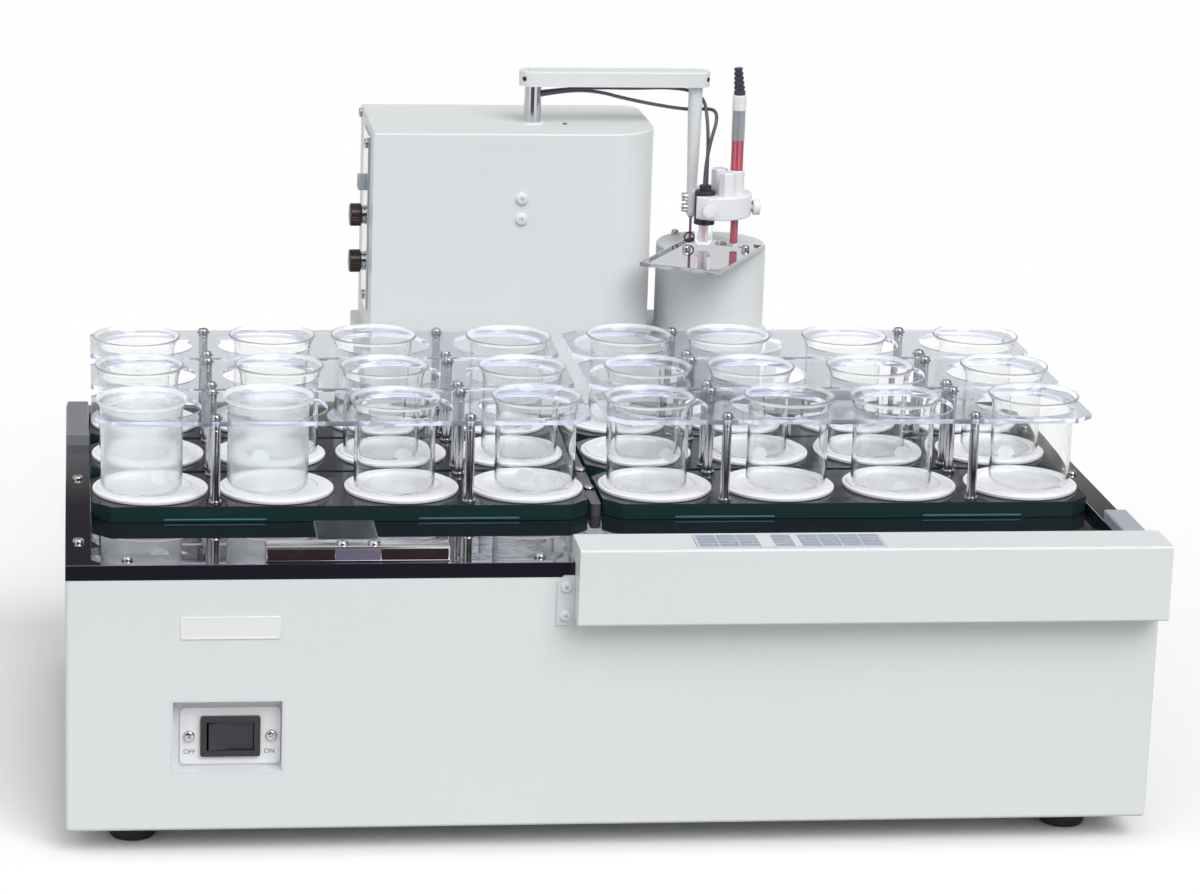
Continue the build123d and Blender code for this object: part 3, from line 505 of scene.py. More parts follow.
black_rubber = finish_of(
    "black_rubber", tone(38, 38, 42), tone(62, 62, 66), (0.62, 0.8), drift=0.6, grain=1800, cloud_scale=60,
    bump=0.25
)
foot = turned(
    "foot_pattern",
    [
        (5.5, 1.6), (5.8, 0.2), (12.2, 0.0), (13.6, 0.5), (14.3, 1.7), (14.9, 9.0), (15.5, 12.5),
        (15.5, 15.4), (15.1, 16.0), (4, 16),
    ],
)
feet = copies(
    foot,
    "moulded_feet",
    [
        at(x, y, 0)
        for x, y in ((-294, -194.5), (292, -194.5), (-294, 97.5), (292, 97.5), (-105, 227.5), (140, 227.5))
    ],
)
fixed(feet, "frame", "black_rubber", black_rubber, "rubber_feet")
discard(foot)

# ---- Deck ----
# A frame of black acrylic rails with polished edges, bonded round a lower floor of the same sheet. A dark
# grey bar screwed to the floor keeps the two columns of racks apart.
black_deck = finish_of(
    "black_deck", tone(26, 26, 36), tone(36, 34, 46), (0.015, 0.04), drift=0.5, grain=600, bump=0.003,
    Coat_Roughness=0.02, Coat_IOR=1.9
)
net = black_deck.node_tree
upright = net.nodes.new("ShaderNodeSeparateXYZ")
net.links.new(net.nodes.new("ShaderNodeTexCoord").outputs["Normal"], upright.inputs[0])
topside = chain(net, "ShaderNodeMath", upright.outputs[2], 0.7, operation="GREATER_THAN")
polish = net.nodes["Principled BSDF"].inputs
net.links.new(topside, polish["Coat Weight"])
sawn_ior, more_on_top = 1.35, 1.1
net.links.new(
    chain(net, "ShaderNodeMath", topside, more_on_top, sawn_ior, operation="MULTIPLY_ADD"), polish["IOR"]
)
rails_middle = (0, -0.0475, 0.1755)
rails_wide, rails_deep, rails_thick = 0.670, 0.370, 0.0095
side_rail, recess_deep = 0.016, 0.3268
bpy.ops.mesh.primitive_plane_add(size=1, location=rails_middle)
rails = bpy.context.object
rails.name = "polished_rails"
rails.scale = (rails_wide, rails_deep, 1)
bpy.ops.object.transform_apply()
edit_faces(rails, lambda face: True)
bpy.ops.mesh.inset(thickness=side_rail, depth=0)
bpy.ops.transform.resize(
    value=(1, recess_deep / (rails_deep - 2 * side_rail), 1), center_override=rails_middle
)
bpy.ops.mesh.delete(type="FACE")
bpy.ops.mesh.select_all(action="SELECT")
bpy.ops.mesh.extrude_region_move(TRANSFORM_OT_translate={"value": (0, 0, rails_thick)})
done(rails)
softened(rails, 0.0005)
done(rails)
fixed(rails, "frame", "black_deck", black_deck, "deck_rails")
coat(nodes["deck_floor"], black_deck)

dark_bar = finish_of(
    "dark_grey_plastic", tone(70, 70, 80), tone(90, 90, 100), (0.25, 0.4), grain=1600, bump=0.06
)
coat(nodes["divider_bar"], dark_bar)

# ---- Pan head screws ----
# Chromed steel screws with a domed head and a cross recess, on the rails, the bar, the switch plate and the
# racks' covers. Those on the rinse housing stand taller. The pair on the panel's bracket and the larger pair
# on the tower are painted over with the sheet.
chrome = finish_of(
    "chrome_screws", tone(214, 214, 218), tone(188, 188, 194), (0.08, 0.2), drift=0.6, grain=3000,
    cloud_scale=90, bump=0.02, Metallic=1.0
)


def cut_away(piece, cutter):
    """Takes a cutter's shape out of a piece, and the cutter away."""
    cut = piece.modifiers.new("recess", "BOOLEAN")
    cut.operation, cut.object = "DIFFERENCE", cutter
    bpy.context.view_layer.objects.active = piece
    bpy.ops.object.modifier_apply(modifier=cut.name)
    discard(cutter)


def crossed_screw(name, head, height):
    """A domed head on its seat, with a cross recess cut by two thin wedges."""
    half = head / 2
    made = turned(
        name,
        [
            (half, 0), (half, height * 0.38), (half * 0.94, height * 0.66), (half * 0.78, height * 0.86),
            (half * 0.5, height * 0.97), (half * 0.2, height),
        ],
        24,
    )
    for angle in (0, 90):
        bpy.ops.mesh.primitive_cube_add(
            size=1, location=(0, 0, height * mm), rotation=(0, 0, math.radians(angle))
        )
        cutter = bpy.context.object
        cutter.scale = (head * 0.55 * mm, head * 0.12 * mm, height * 1.1 * mm)
        edit_faces(cutter, lambda face: face.normal.z < -0.9)
        bpy.ops.transform.resize(value=(0.45, 0.8, 1), center_override=(0, 0, height * 0.5 * mm))
        bpy.ops.object.mode_set(mode="OBJECT")
        cut_away(made, cutter)
    return done(made)


screw = crossed_screw("screw_pattern", 7.0, 2.4)
rail_top, divider_top = 185, 187
rail_screws = (
    (-327, -184.5, 20), (-327, -46.5, 65), (327, -46.5, 40), (327, 67.5, 10),
    (-298, -220.5, 30), (-49, -220.5, 75), (-298, 126.5, 5), (-185, 126.5, 50), (298, 126.5, 35),
)
screw_places = [at(x, y, rail_top, turn) for x, y, turn in rail_screws]
screw_places += [at(0, y, divider_top, turn) for y, turn in ((-82.5, 15), (-40.5, 60), (95.9, 35))]
screw_places += [facing_front(x, -223.0, 73.7, turn) for x, turn in ((-260.4, 45), (-210.4, 10))]
screw_places += [facing_left(-125.8, y, z, 40) for y, z in ((179.5, 362.0), (187.5, 252.0))]
screw_places += [facing_left(-124.3, 247.0, 371.5, 25)]
fixed(copies(screw, "chrome_pan_screws", screw_places), "frame", "chrome_screws", chrome, "pan_head_screws")
cap_head = crossed_screw("cap_screw_pattern", 5.6, 3.6)
caps = [at(x, 214.8, 289.8, turn) for x, turn in ((100, 20), (143, 55))]
caps += [at(x, 158, 290.8, turn) for x, turn in ((99, 70), (141, 30))]
fixed(copies(cap_head, "housing_cap_screws", caps), "frame", "chrome_screws", chrome)
discard(cap_head)
on_bracket = [facing_front(-34.1, -234.5, z, turn) for z, turn in ((170.3, 25), (152.0, 70))]
bracket_pair = copies(screw, "painted_bracket_screws", on_bracket)
fixed(bracket_pair, "frame", "white_paint", white_paint)
tower_screw = crossed_screw("tower_screw_pattern", 8.6, 2.2)
on_tower = [facing_front(-21, 137.5, z, turn) for z, turn in ((331.5, 20), (317.0, 62))]
tower_pair = copies(tower_screw, "painted_tower_screws", on_tower)
fixed(tower_pair, "frame", "white_paint", white_paint)
discard(tower_screw)

# ---- Power switch ----
# A shallow pan behind the opening holds a white moulded plate with two screws. A black rocker in a black
# bezel sits in its middle, off to the left and on to the right.
grey_white = finish_of(
    "grey_white_paint", tone(226, 228, 232), tone(216, 218, 223), (0.3, 0.42), drift=0.4, grain=1200,
    bump=0.03
)
white_plastic = finish_of(
    "white_plastic", tone(236, 237, 238), tone(222, 222, 224), (0.34, 0.5), drift=0.4, grain=1500,
    cloud_scale=30, bump=0.04
)
black_plastic = finish_of(
    "black_plastic", tone(40, 41, 45), tone(60, 61, 66), (0.3, 0.45), drift=0.5, grain=1800, cloud_scale=40,
    bump=0.12
)
coat(nodes["switch_pan"], grey_white)
coat(nodes["switch_plate"], white_plastic)
coat(nodes["switch_bezel"], black_plastic)
coat(nodes["power_rocker"], black_plastic)
ink = finish_of("grey_ink", tone(96, 98, 104), tone(120, 122, 128), (0.5, 0.6), grain=4000, bump=0)


def lettering(name, words, x, y, z, height, body):
    """Flat printed letters on a front face."""
    bpy.ops.object.select_all(action="DESELECT")
    bpy.ops.object.text_add()
    made = bpy.context.object
    made.data.body, made.data.size = words, height * mm * 1.4
    made.data.align_x, made.data.align_y = "CENTER", "CENTER"
    bpy.ops.object.convert(target="MESH")
    made.location, made.rotation_euler = (x * mm, y * mm, z * mm), (math.radians(90), 0, 0)
    made.name = name
    bpy.ops.object.transform_apply()
    return fixed(made, body, "black_plastic", ink)


for name, word, x in (("switch_word_off", "OFF", -260.2), ("switch_word_on", "ON", -211.6)):
    lettering(name, word, x, -223.06, 63.4, 3.0, "frame")

# ---- Control panel ----
# A long box bent from the same painted sheet, hung over the deck's front edge and screwed to a small
# bracket. A membrane with four rows of plain keys is stuck on its top.
membrane = finish_of(
    "membrane_film", tone(198, 178, 202), tone(186, 168, 192), (0.25, 0.35), grain=2600, bump=0.02
)
fixed(
    plate("panel_membrane", (42.6, -248.6, 198.4), (158.4, -222.8, 198.6), 0.08, 1),
    "frame",
    "white_plastic",
    membrane,
)
window_film = finish_of(
    "window_film", tone(236, 237, 240), tone(226, 227, 232), (0.2, 0.3), grain=2600, bump=0.02
)
fixed(
    plate("panel_window", (43.4, -247.8, 198.58), (157.6, -223.6, 198.75), 0.06, 1),
    "frame",
    "white_plastic",
    window_film,
)
key_film = finish_of(
    "key_film",
    tone(176, 184, 198),
    tone(148, 156, 174),
    (0.22, 0.34),
    grain=2600,
    cloud_scale=140,
    bump=0.02,
    drift=0.9,
)
key = plate("key_pattern", (-5.95, -2.5, 0), (5.95, 2.5, 0.25), 0.12)
key_columns, first_row, row_pitch = (50.5, 63.1, 75.7, 96.8, 113.0, 125.6, 138.2, 150.8), -244.6, 5.95
key_places = [at(x, first_row + row * row_pitch, 198.72) for x in key_columns for row in range(4)]
fixed(copies(key, "membrane_keys", key_places), "frame", "grey_plastic", key_film)
discard(key)
bracket_steel = finish_of(
    "steel_bar", tone(206, 208, 212), tone(186, 188, 194), (0.24, 0.36), drift=0.6, grain=1800,
    cloud_scale=30, bump=0.03, Metallic=0.6
)
coat(nodes["panel_bracket"], grey_white)

# ---- Pushers ----
# Bars that shift the racks round the deck. The front one is a bright folded channel, and carries a black hook
# under the tray. Thin sheets on its face are painted dark brown at the ends, a painted reflection of the dark
# room in the polished face, with a mauve sheet between them. Short side bars and a rear bar do the same work.
bright_plate = finish_of(
    "bright_plate", tone(224, 224, 228), tone(200, 200, 206), (0.14, 0.26), drift=0.6, grain=2200,
    cloud_scale=50, bump=0.02, Metallic=0.95
)
channel = plate("folded_channel", (-215.3, -227.8, 185.3), (-104.3, -212.5, 194.4), 0.5)
fixed(channel, "front_pusher", "bright_plate", bright_plate, "front_pusher_bar")
# Painted reflection: the dark brown of the end sheets stands for the dark room mirrored in the channel's face.
painted_dark_reflection = finish_of(
    "channel_painted_reflection", tone(34, 16, 24), tone(48, 28, 36), (0.18, 0.3), drift=0.7, grain=1600, bump=0.03
)
mauve = finish_of(
    "mauve_cover",
    tone(116, 108, 130),
    tone(88, 80, 104),
    (0.2, 0.3),
    drift=0.8,
    grain=1600,
    cloud_scale=90,
    bump=0.03,
)
for name, low, high, face_paint in (
    ("left", -214.3, -173.9, painted_dark_reflection), ("middle", -173.5, -146.2, mauve), (
        "right", -145.8, -105.3, painted_dark_reflection
    )
):
    strip = plate(f"pusher_strip_{name}", (low, -228.2, 185.9), (high, -227.7, 192.9), 0.12, 1)
    fixed(strip, "front_pusher", "dark_grey_plastic", face_paint)
hook_black = finish_of(
    "hook_black", tone(18, 26, 28), tone(30, 38, 40), (0.12, 0.2), grain=1500, bump=0.02, IOR=1.3
)
coat(nodes["front_pusher_hook"], hook_black)
# Painted highlight: thin light teal strips along the hook's two sides stand for the light caught on its edges.
hook_edge_highlight = finish_of(
    "hook_painted_highlight", tone(128, 172, 176), tone(110, 150, 156), (0.3, 0.4), grain=2400, bump=0.02
)
for name, x in (("left", -183.25), ("right", -146.9)):
    edge = plate(f"hook_edge_{name}", (x, -211.5, 191.6), (x + 0.3, -174.5, 194.3), 0.05, 1)
    fixed(edge, "front_pusher", "grey_plastic", hook_edge_highlight)


def beyond(material, limit, colour, axis=2):
    """Paints another colour above a height, or further along another axis, for a piece that never turns."""
    net = material.node_tree
    shader = net.nodes["Principled BSDF"]
    was = shader.inputs["Base Color"].links[0].from_socket
    place = net.nodes.new("ShaderNodeSeparateXYZ")
    net.links.new(net.nodes.new("ShaderNodeTexCoord").outputs["Object"], place.inputs[0])
    mask = chain(net, "ShaderNodeMath", place.outputs[axis], limit, operation="GREATER_THAN")
    net.links.new(mixed(net, mask, was, colour), shader.inputs["Base Color"])
    return material


# Painted light: the right one of the two side bars is painted lighter and bluer than the left.
side_bars_painted_light = finish_of("pusher_grey", tone(120, 120, 130), tone(98, 98, 108), (0.3, 0.4), grain=1500, bump=0.04)
coat(nodes["side_pusher_bars"], beyond(side_bars_painted_light, 0, tone(170, 178, 190), axis=0))
coat(nodes["rear_pusher"], bracket_steel)
for name, x in (("left", -169.0), ("right", -150.0)):
    pair = copies(screw, f"pusher_screw_{name}", [at(x, -222.5, 194.4, 25) @ Matrix.Scale(1.15, 4)])
    fixed(pair, "front_pusher", "chrome_screws", chrome)


# ---- Racks ----
# Each rack is a black tray with cut corners that carries four white turned seats and four chromed posts.
# A clear acrylic cover with four holes is screwed to the posts and steadies the beakers.
rack_bodies = {
    "left_front": ("left_front_rack", "left_front_beakers", [(-161.6, -87.1)]),
    "left_rear": ("left_rear_racks", "left_rear_beakers", [(-161.6, -6.3), (-161.6, 74.5)]),
    "right": ("right_racks", "right_racks", [(161.6, -87.1), (161.6, -6.3), (161.6, 74.5)]),
}


beaker_pitch, post_reach = 79.9, 31.5
tray_top, cover_top, beaker_floor = 189.3, 244.2, 191.6


def beaker_spots(racks):
    """Where the beakers stand, four to a rack."""
    return [(x + step * beaker_pitch, y) for x, y in racks for step in (-1.5, -0.5, 0.5, 1.5)]


def post_spots(racks):
    """Where the posts stand, between the first two and the last two beakers of a rack."""
    return [
        (x + side * beaker_pitch, y + end * post_reach)
        for x, y in racks for side in (-1, 1) for end in (-1, 1)
    ]


# Painted reflection: the trays' black sides are painted dark green-teal below the top, which stays dark grey.
tray_sides_painted_reflection = finish_of(
    "black_tray", tone(30, 58, 56), tone(34, 44, 50), (0.05, 0.1), drift=0.8, grain=1400, cloud_scale=12,
    bump=0.01, IOR=1.45
)
black_tray = beyond(tray_sides_painted_reflection, (tray_top - 0.2) * mm, tone(34, 34, 42))
white_seat = finish_of(
    "white_seat", tone(240, 240, 242), tone(228, 228, 231), (0.4, 0.55), drift=0.4, grain=1300,
    cloud_scale=20, bump=0.03
)
# Painted light: a thin teal strip low on each tray's front stands for the light seen through the gap under it.
gap_light_teal = finish_of("painted_gap_light", tone(104, 168, 172), tone(84, 144, 150), (0.3, 0.4), grain=2400, bump=0.02)
seat = turned(
    "seat_pattern",
    [(10, 0), (35.6, 0), (36.3, 0.4), (36.5, 1.0), (36.5, 2.0), (36.2, 2.3), (34.3, 2.4), (34.0, 2.7),
     (33.9, 3.3), (33.5, 3.6),
     (27.2, 3.6), (26.7, 3.4), (26.6, 2.2), (26.3, 2.0), (8, 2.0)],
    64,
)
post = turned(
    "post_pattern",
    [
        (4.0, 0), (4.2, 0.4), (4.2, 1.8), (4.0, 2.2), (3.0, 2.3), (3.0, 47.6), (2.7, 48.0), (2.7, 48.6),
        (3.0, 49.0), (3.0, 51.9), (2.2, 51.9),
    ],
    24,
)
washer = turned("washer_pattern", [(2.4, 0), (4.3, 0), (4.5, 0.2), (4.5, 0.6), (4.3, 0.8), (2.4, 0.8)], 24)
gap_light_strip = plate("gap_light_pattern", (-32, 0, 0), (32, 0.5, 1.1), 0.05, 1)
for group, (rack_body, beaker_body, racks) in rack_bodies.items():
    coat(nodes[f"{group}_trays"], black_tray)
    turned_seats = copies(seat, f"{group}_turned_seats", [at(x, y, tray_top) for x, y in beaker_spots(racks)])
    fixed(turned_seats, rack_body, "white_seat", white_seat, f"{group}_seats")
    chromed_posts = copies(post, f"{group}_chromed_posts", [at(x, y, tray_top) for x, y in post_spots(racks)])
    fixed(chromed_posts, rack_body, "chrome_screws", chrome, f"{group}_posts")
    washers = copies(washer, f"{group}_washers", [at(x, y, cover_top) for x, y in post_spots(racks)])
    fixed(washers, rack_body, "chrome_screws", chrome)
    screwed = [at(x, y, cover_top + 0.8, 17 * i) for i, (x, y) in enumerate(post_spots(racks))]
    heads = copies(screw, f"{group}_cover_screws", screwed)
    fixed(heads, rack_body, "chrome_screws", chrome)
    gap_light_places = [at(x + side * beaker_pitch, y - 37.3, 180.3) for x, y in racks for side in (-1, 1)]
    gap_light_strips = copies(gap_light_strip, f"{group}_tray_gap_light", gap_light_places)
    fixed(gap_light_strips, rack_body, "grey_plastic", gap_light_teal)
discard(seat, post, washer, gap_light_strip, screw)


def clear(name, colour, roughness, refraction, shade=(1, 1, 1, 1)):
    """A clear solid that lets the lamps through, so that what stands behind it stays lit."""
    made = bpy.data.materials.new(name)
    made.use_nodes = True
    net = made.node_tree
    shader = net.nodes["Principled BSDF"]
    shader.inputs["Base Color"].default_value = colour
    shader.inputs["Roughness"].default_value = roughness
    shader.inputs["IOR"].default_value = refraction
    shader.inputs["Transmission Weight"].default_value = 1.0
    through = net.nodes.new("ShaderNodeBsdfTransparent")
    through.inputs["Color"].default_value = shade
    choose = net.nodes.new("ShaderNodeMixShader")
    net.links.new(net.nodes.new("ShaderNodeLightPath").outputs["Is Shadow Ray"], choose.inputs[0])
    net.links.new(shader.outputs[0], choose.inputs[1])
    net.links.new(through.outputs[0], choose.inputs[2])
    net.links.new(choose.outputs[0], net.nodes["Material Output"].inputs["Surface"])
    return made


# The covers' sawn edges are hazy. They are painted a lighter blue and given a painted glow, which stand in for
# the light that the sheet pipes to them.
sheet_grey = (0.72, 0.745, 0.79, 1)
acrylic = clear("clear_acrylic", sheet_grey, 0.02, 1.27, (0.90, 0.91, 0.94, 1))
net = acrylic.node_tree
shader = net.nodes["Principled BSDF"]
upright = net.nodes.new("ShaderNodeSeparateXYZ")
net.links.new(net.nodes.new("ShaderNodeTexCoord").outputs["Normal"], upright.inputs[0])
steep = chain(net, "ShaderNodeMath", upright.outputs[2], operation="ABSOLUTE")
sawn = chain(net, "ShaderNodeMath", steep, 0.5, operation="LESS_THAN")
net.links.new(mixed(net, sawn, sheet_grey, (0.84, 0.86, 0.99, 1)), shader.inputs["Base Color"])
haze = chain(net, "ShaderNodeMath", sawn, 0.16, 0.02, operation="MULTIPLY_ADD")
net.links.new(haze, shader.inputs["Roughness"])
no_glow, edge_glow = (0, 0, 0, 1), (0.126, 0.129, 0.15, 1)
net.links.new(mixed(net, sawn, no_glow, edge_glow), shader.inputs["Emission Color"])
shader.inputs["Emission Strength"].default_value = 1.0
for group in rack_bodies:
    coat(nodes[f"{group}_covers"], acrylic)

# ---- Beakers ----
# Blown borosilicate beakers with a flat base and a flared rim with a bead, each standing a few millimetres off
# the middle of its seat. White enamel lines and an oval for notes go with each. Two are fogged with use.
rim_foot = 0.2482
glass = clear("clear_glass", (0.98, 0.985, 0.985, 1), 0.0, 1.34, (0.95, 0.955, 0.96, 1))
fogged = clear("fogged_glass", (0.95, 0.97, 0.97, 1), 0.0, 1.34, (0.93, 0.94, 0.94, 1))
fogged.node_tree.nodes["Principled BSDF"].inputs["Transmission Weight"].default_value = 0.86
# The rims above the bead's foot carry a painted glow, a painted highlight along each bead.
rim_painted_glow = (0.141, 0.146, 0.146, 1)
for blown_glass, mist in ((glass, 0.03), (fogged, 0.14)):
    net = blown_glass.node_tree
    shader = net.nodes["Principled BSDF"]
    side = net.nodes.new("ShaderNodeSeparateXYZ")
    net.links.new(net.nodes.new("ShaderNodeTexCoord").outputs["Object"], side.inputs[0])
    rim = chain(net, "ShaderNodeMath", side.outputs[2], rim_foot, operation="GREATER_THAN")
    rough = chain(net, "ShaderNodeMath", rim, 0.24, mist, operation="MULTIPLY_ADD")
    net.links.new(rough, shader.inputs["Roughness"])
    net.links.new(mixed(net, rim, no_glow, rim_painted_glow), shader.inputs["Emission Color"])
    shader.inputs["Emission Strength"].default_value = 1.0
beaker_base = [(9, 0.7), (19.5, 0.2), (22.0, 0.1), (24.2, 0.9), (25.5, 2.6), (25.85, 5.0)]
outer_wall = [(25.85, 20.0), (25.85, 36.0), (25.85, 49.0), (26.1, 52.5), (26.9, 55.2), (28.2, 57.6)]
rim_bead = [(29.1, 58.9), (29.25, 59.5), (28.9, 59.95), (28.2, 59.9), (27.4, 59.0)]
inner_wall = [(26.2, 56.8), (25.2, 54.4), (24.75, 51.5), (24.6, 48.0), (24.6, 36.0), (24.6, 20.0), (24.6, 5.6)]
beaker_bottom = [(24.1, 3.6), (22.6, 2.2), (19.5, 1.7), (9, 1.9)]
beaker = turned("beaker_pattern", beaker_base + outer_wall + rim_bead + inner_wall + beaker_bottom, 64)
off_middle = (0.0062, 0, -0.0010)
edit_faces(beaker, lambda face: True)
bpy.ops.transform.translate(value=off_middle)
done(beaker, 60)

enamel = finish_of(
    "white_enamel", tone(240, 246, 246), tone(228, 234, 234), (0.4, 0.5), grain=3000, bump=0.05, Alpha=0.8
)
mark_pieces = []
bpy.ops.object.select_all(action="DESELECT")
off_wall = -0.0262
upright_turn = (math.pi / 2, 0, 0)
bpy.ops.mesh.primitive_circle_add(
    vertices=24, radius=0.0046, fill_type="TRIFAN", location=(0, off_wall, 0.013), rotation=upright_turn
)
oval = bpy.context.object
oval.scale = (1.45, 1, 1)
edit_faces(oval, lambda face: True)
bpy.ops.mesh.subdivide(number_cuts=2)
bpy.ops.object.mode_set(mode="OBJECT")
mark_pieces.append(oval)
first_line, line_pitch = 22, 5.6
for step, wide in enumerate((9, 5, 9, 5, 9)):
    middle = (0, off_wall, (first_line + step * line_pitch) * mm)
    bpy.ops.mesh.primitive_grid_add(
        x_subdivisions=9, y_subdivisions=1, size=1, location=middle, rotation=upright_turn
    )
    line = bpy.context.object
    line.scale = (wide * mm, 0.0006, 1)
    mark_pieces.append(line)
bpy.ops.object.select_all(action="DESELECT")
for piece in mark_pieces:
    piece.select_set(True)
bpy.context.view_layer.objects.active = oval
bpy.ops.object.join()
bpy.ops.object.transform_apply()
wrap = oval.modifiers.new("onto_wall", "SHRINKWRAP")
wrap.target, wrap.wrap_method, wrap.offset = beaker, "NEAREST_SURFACEPOINT", 0.00007
wrap.wrap_mode = "ABOVE_SURFACE"
bpy.ops.object.modifier_apply(modifier=wrap.name)

stand_turns = {
    "left_front": [205, 150, 215, 20],
    "left_rear": [160, 20, 200, 335, 190, 30, 160, 345],
    "right": [200, 20, 195, 15, 330, 205, 210, 340, 25, 170, 200, 350],
}
mark_turns = {
    "left_front": [12, 200, 170, -10],
    "left_rear": [160, 100, 200, 150, 190, 250, 130, 120],
    "right": [150, 200, 160, 190, 170, 100, 205, 240, 140, 170, 95, 210],
}
for group, (rack_body, beaker_body, racks) in rack_bodies.items():
    spots = list(zip(beaker_spots(racks), stand_turns[group], mark_turns[group]))
    stood = [at(x, y, beaker_floor, turn) for (x, y), turn, _ in spots]
    misted = 2 if group == "left_front" else 0
    if misted:
        pair = copies(beaker, f"{group}_fogged_beakers", stood[:misted])
        fixed(pair, beaker_body, "clear_glass", fogged)
    blown = copies(beaker, f"{group}_blown_beakers", stood[misted:])
    fixed(blown, beaker_body, "clear_glass", glass, f"{group}_beakers")
    marks = copies(oval, f"{group}_beaker_marks", [at(x, y, beaker_floor, turn) for (x, y), _, turn in spots])
    fixed(marks, beaker_body, "white_plastic", enamel)
discard(beaker, oval)

# ---- Tower ----
# One shell folded and welded from painted sheet, sharp at the front left and widely rounded at the front
# right. A white bushing guides the post through its top, and a small plug closes a hole beside it.
coat(nodes["post_bushing"], white_plastic)
plug = turned("plug_pattern", [(1.6, 0), (1.6, 0.4), (1.2, 0.6), (0.5, 0.65)], 20)
fixed(copies(plug, "tower_plug", [at(12.5, 176.0, 377.0)]), "frame", "black_plastic", black_plastic)
discard(plug)

# ---- Connectors ----
# Two round sockets stand out of a bright plate on the tower's left side, each with a dark knurled locking
# ring and a hollow chromed core. A square grey socket sits above them.
coat(nodes["connector_plate"], bright_plate)
connector_y = 187.5
connector_heights = (("upper", 309.5), ("lower", 276.3))
core = turned(
    "core_pattern",
    [
        (1.0, 7.0), (3.5, 7.0), (3.7, 10.6), (4.2, 10.9), (4.45, 10.6), (4.45, 2.5), (6.4, 2.3), (6.6, 1.9),
        (6.6, 0), (1.0, 0),
    ],
    40,
)
cores = copies(core, "hollow_cores", [facing_left(-125.8, connector_y, z) for _, z in connector_heights])
fixed(cores, "frame", "chrome_screws", chrome, "connector_cores")
discard(core)
socket_grey = finish_of(
    "socket_grey", tone(186, 197, 206), tone(164, 176, 186), (0.25, 0.35), grain=1800, bump=0.03
)
socket = plate("square_socket", (-131.2, 182.6, 327.8), (-125.7, 192.4, 338.1), 0.5)
edit_faces(socket, lambda face: face.normal.x < -0.9 and face.area > 5e-5)
bpy.ops.mesh.inset(thickness=0.0011, depth=0)
bpy.ops.mesh.inset(thickness=0.0002, depth=-0.002)
done(socket)
fixed(socket, "frame", "grey_plastic", socket_grey)
ring_brown = finish_of(
    "ring_brown", tone(60, 46, 48), tone(84, 68, 68), (0.2, 0.3), drift=0.6, grain=2000, cloud_scale=60,
    bump=0.05
)
ring = turned(
    "ring_pattern",
    [(4.65, 0.2), (7.6, 0.2), (8.0, 0.6), (8.0, 7.4), (7.5, 8.2), (6.4, 8.5), (4.8, 8.5), (4.65, 8.3)],
    48,
)


def fluted(face, radius, step):
    """Whether a face lies on a turned piece's outside and on every second flute, each step degrees wide."""
    outside = abs(face.normal.z) < 0.1 and face.center.xy.length > radius
    heading = math.degrees(math.atan2(face.center.y, face.center.x))
    return outside and round(heading / step - 0.5) % 2 == 0


edit_faces(ring, lambda face: fluted(face, 0.0078, 7.5))
bpy.ops.mesh.inset(thickness=0.00012, depth=-0.0004, use_individual=True)
bpy.ops.object.mode_set(mode="OBJECT")
edit_faces(ring, lambda face: len(face.vertices) > 12)
bpy.ops.mesh.bridge_edge_loops()
done(ring, 30)
for name, z in connector_heights:
    knurled = copies(ring, f"knurled_ring_{name}", [facing_left(-128.2, connector_y, z)])
    fixed(knurled, f"{name}_ring", "black_plastic", ring_brown, f"connector_ring_{name}")
discard(ring)

# ---- Lift ----
# Inside the tower a motor turns a screw that raises a block along two ground rods. None of it shows while
# the shell is on.
ground_steel = finish_of(
    "ground_steel", tone(200, 202, 206), tone(176, 178, 184), (0.12, 0.22), grain=2000, cloud_scale=40,
    bump=0.02, Metallic=1.0
)
coat(nodes["guide_rods"], ground_steel)
coat(nodes["lift_screw"], ground_steel)
aluminium = finish_of(
    "aluminium_block", tone(196, 198, 202), tone(170, 172, 178), (0.3, 0.42), grain=1500, cloud_scale=20,
    bump=0.06, Metallic=0.95
)
coat(nodes["lift_carriage"], aluminium)
motor_black = finish_of(
    "motor_metal", tone(56, 56, 62), tone(78, 78, 86), (0.35, 0.5), grain=1300, bump=0.1, Metallic=0.5
)
coat(nodes["stepper_motors"], motor_black)
coat(nodes["power_supply"], aluminium)
board_top = 0.0297
board_green = finish_of("board_green", tone(30, 96, 62), tone(24, 78, 52), (0.3, 0.4), grain=1200, bump=0.08)
coat(nodes["control_board"], beyond(board_green, board_top, tone(34, 34, 38)))

# ---- Arm ----
# A chromed post carries a white painted bar, and a white rod hangs from the bar's far end. Black set screws
# grip both, and two slotted clamp screws show on the rod.
coat(nodes["support_post"], chrome)
coat(nodes["arm_bar"], white_paint)
coat(nodes["drop_rod"], white_paint)
set_screw = turned("set_screw_pattern", [(1.7, 0), (1.7, 0.25), (1.0, 0.25), (0.9, -0.8), (0.3, -0.8)], 20)
in_arm_ends = ((-16.95, 173.52, -43), (112.55, 174.49, 51))
sockets = copies(
    set_screw, "arm_set_screws", [placed(x, y, 409.3, ("Z", turn), ("X", 90)) for x, y, turn in in_arm_ends]
)
fixed(sockets, "arm", "black_plastic", black_plastic)
discard(set_screw)
shaft_end = turned(
    "shaft_end_pattern",
    [(6.3, 0), (6.3, 0.1), (4.0, 0.16), (3.9, -0.3), (3.5, -0.3), (3.4, 0.16), (1, 0.16)],
    32,
)
arm_top = 414.6
shaft_ends = [at(-10, 180.5, arm_top), at(105, 180.5, arm_top) @ Matrix.Scale(0.85, 4)]
ends = copies(shaft_end, "arm_shaft_ends", shaft_ends)
fixed(ends, "arm", "white_paint", white_paint)
discard(shaft_end)

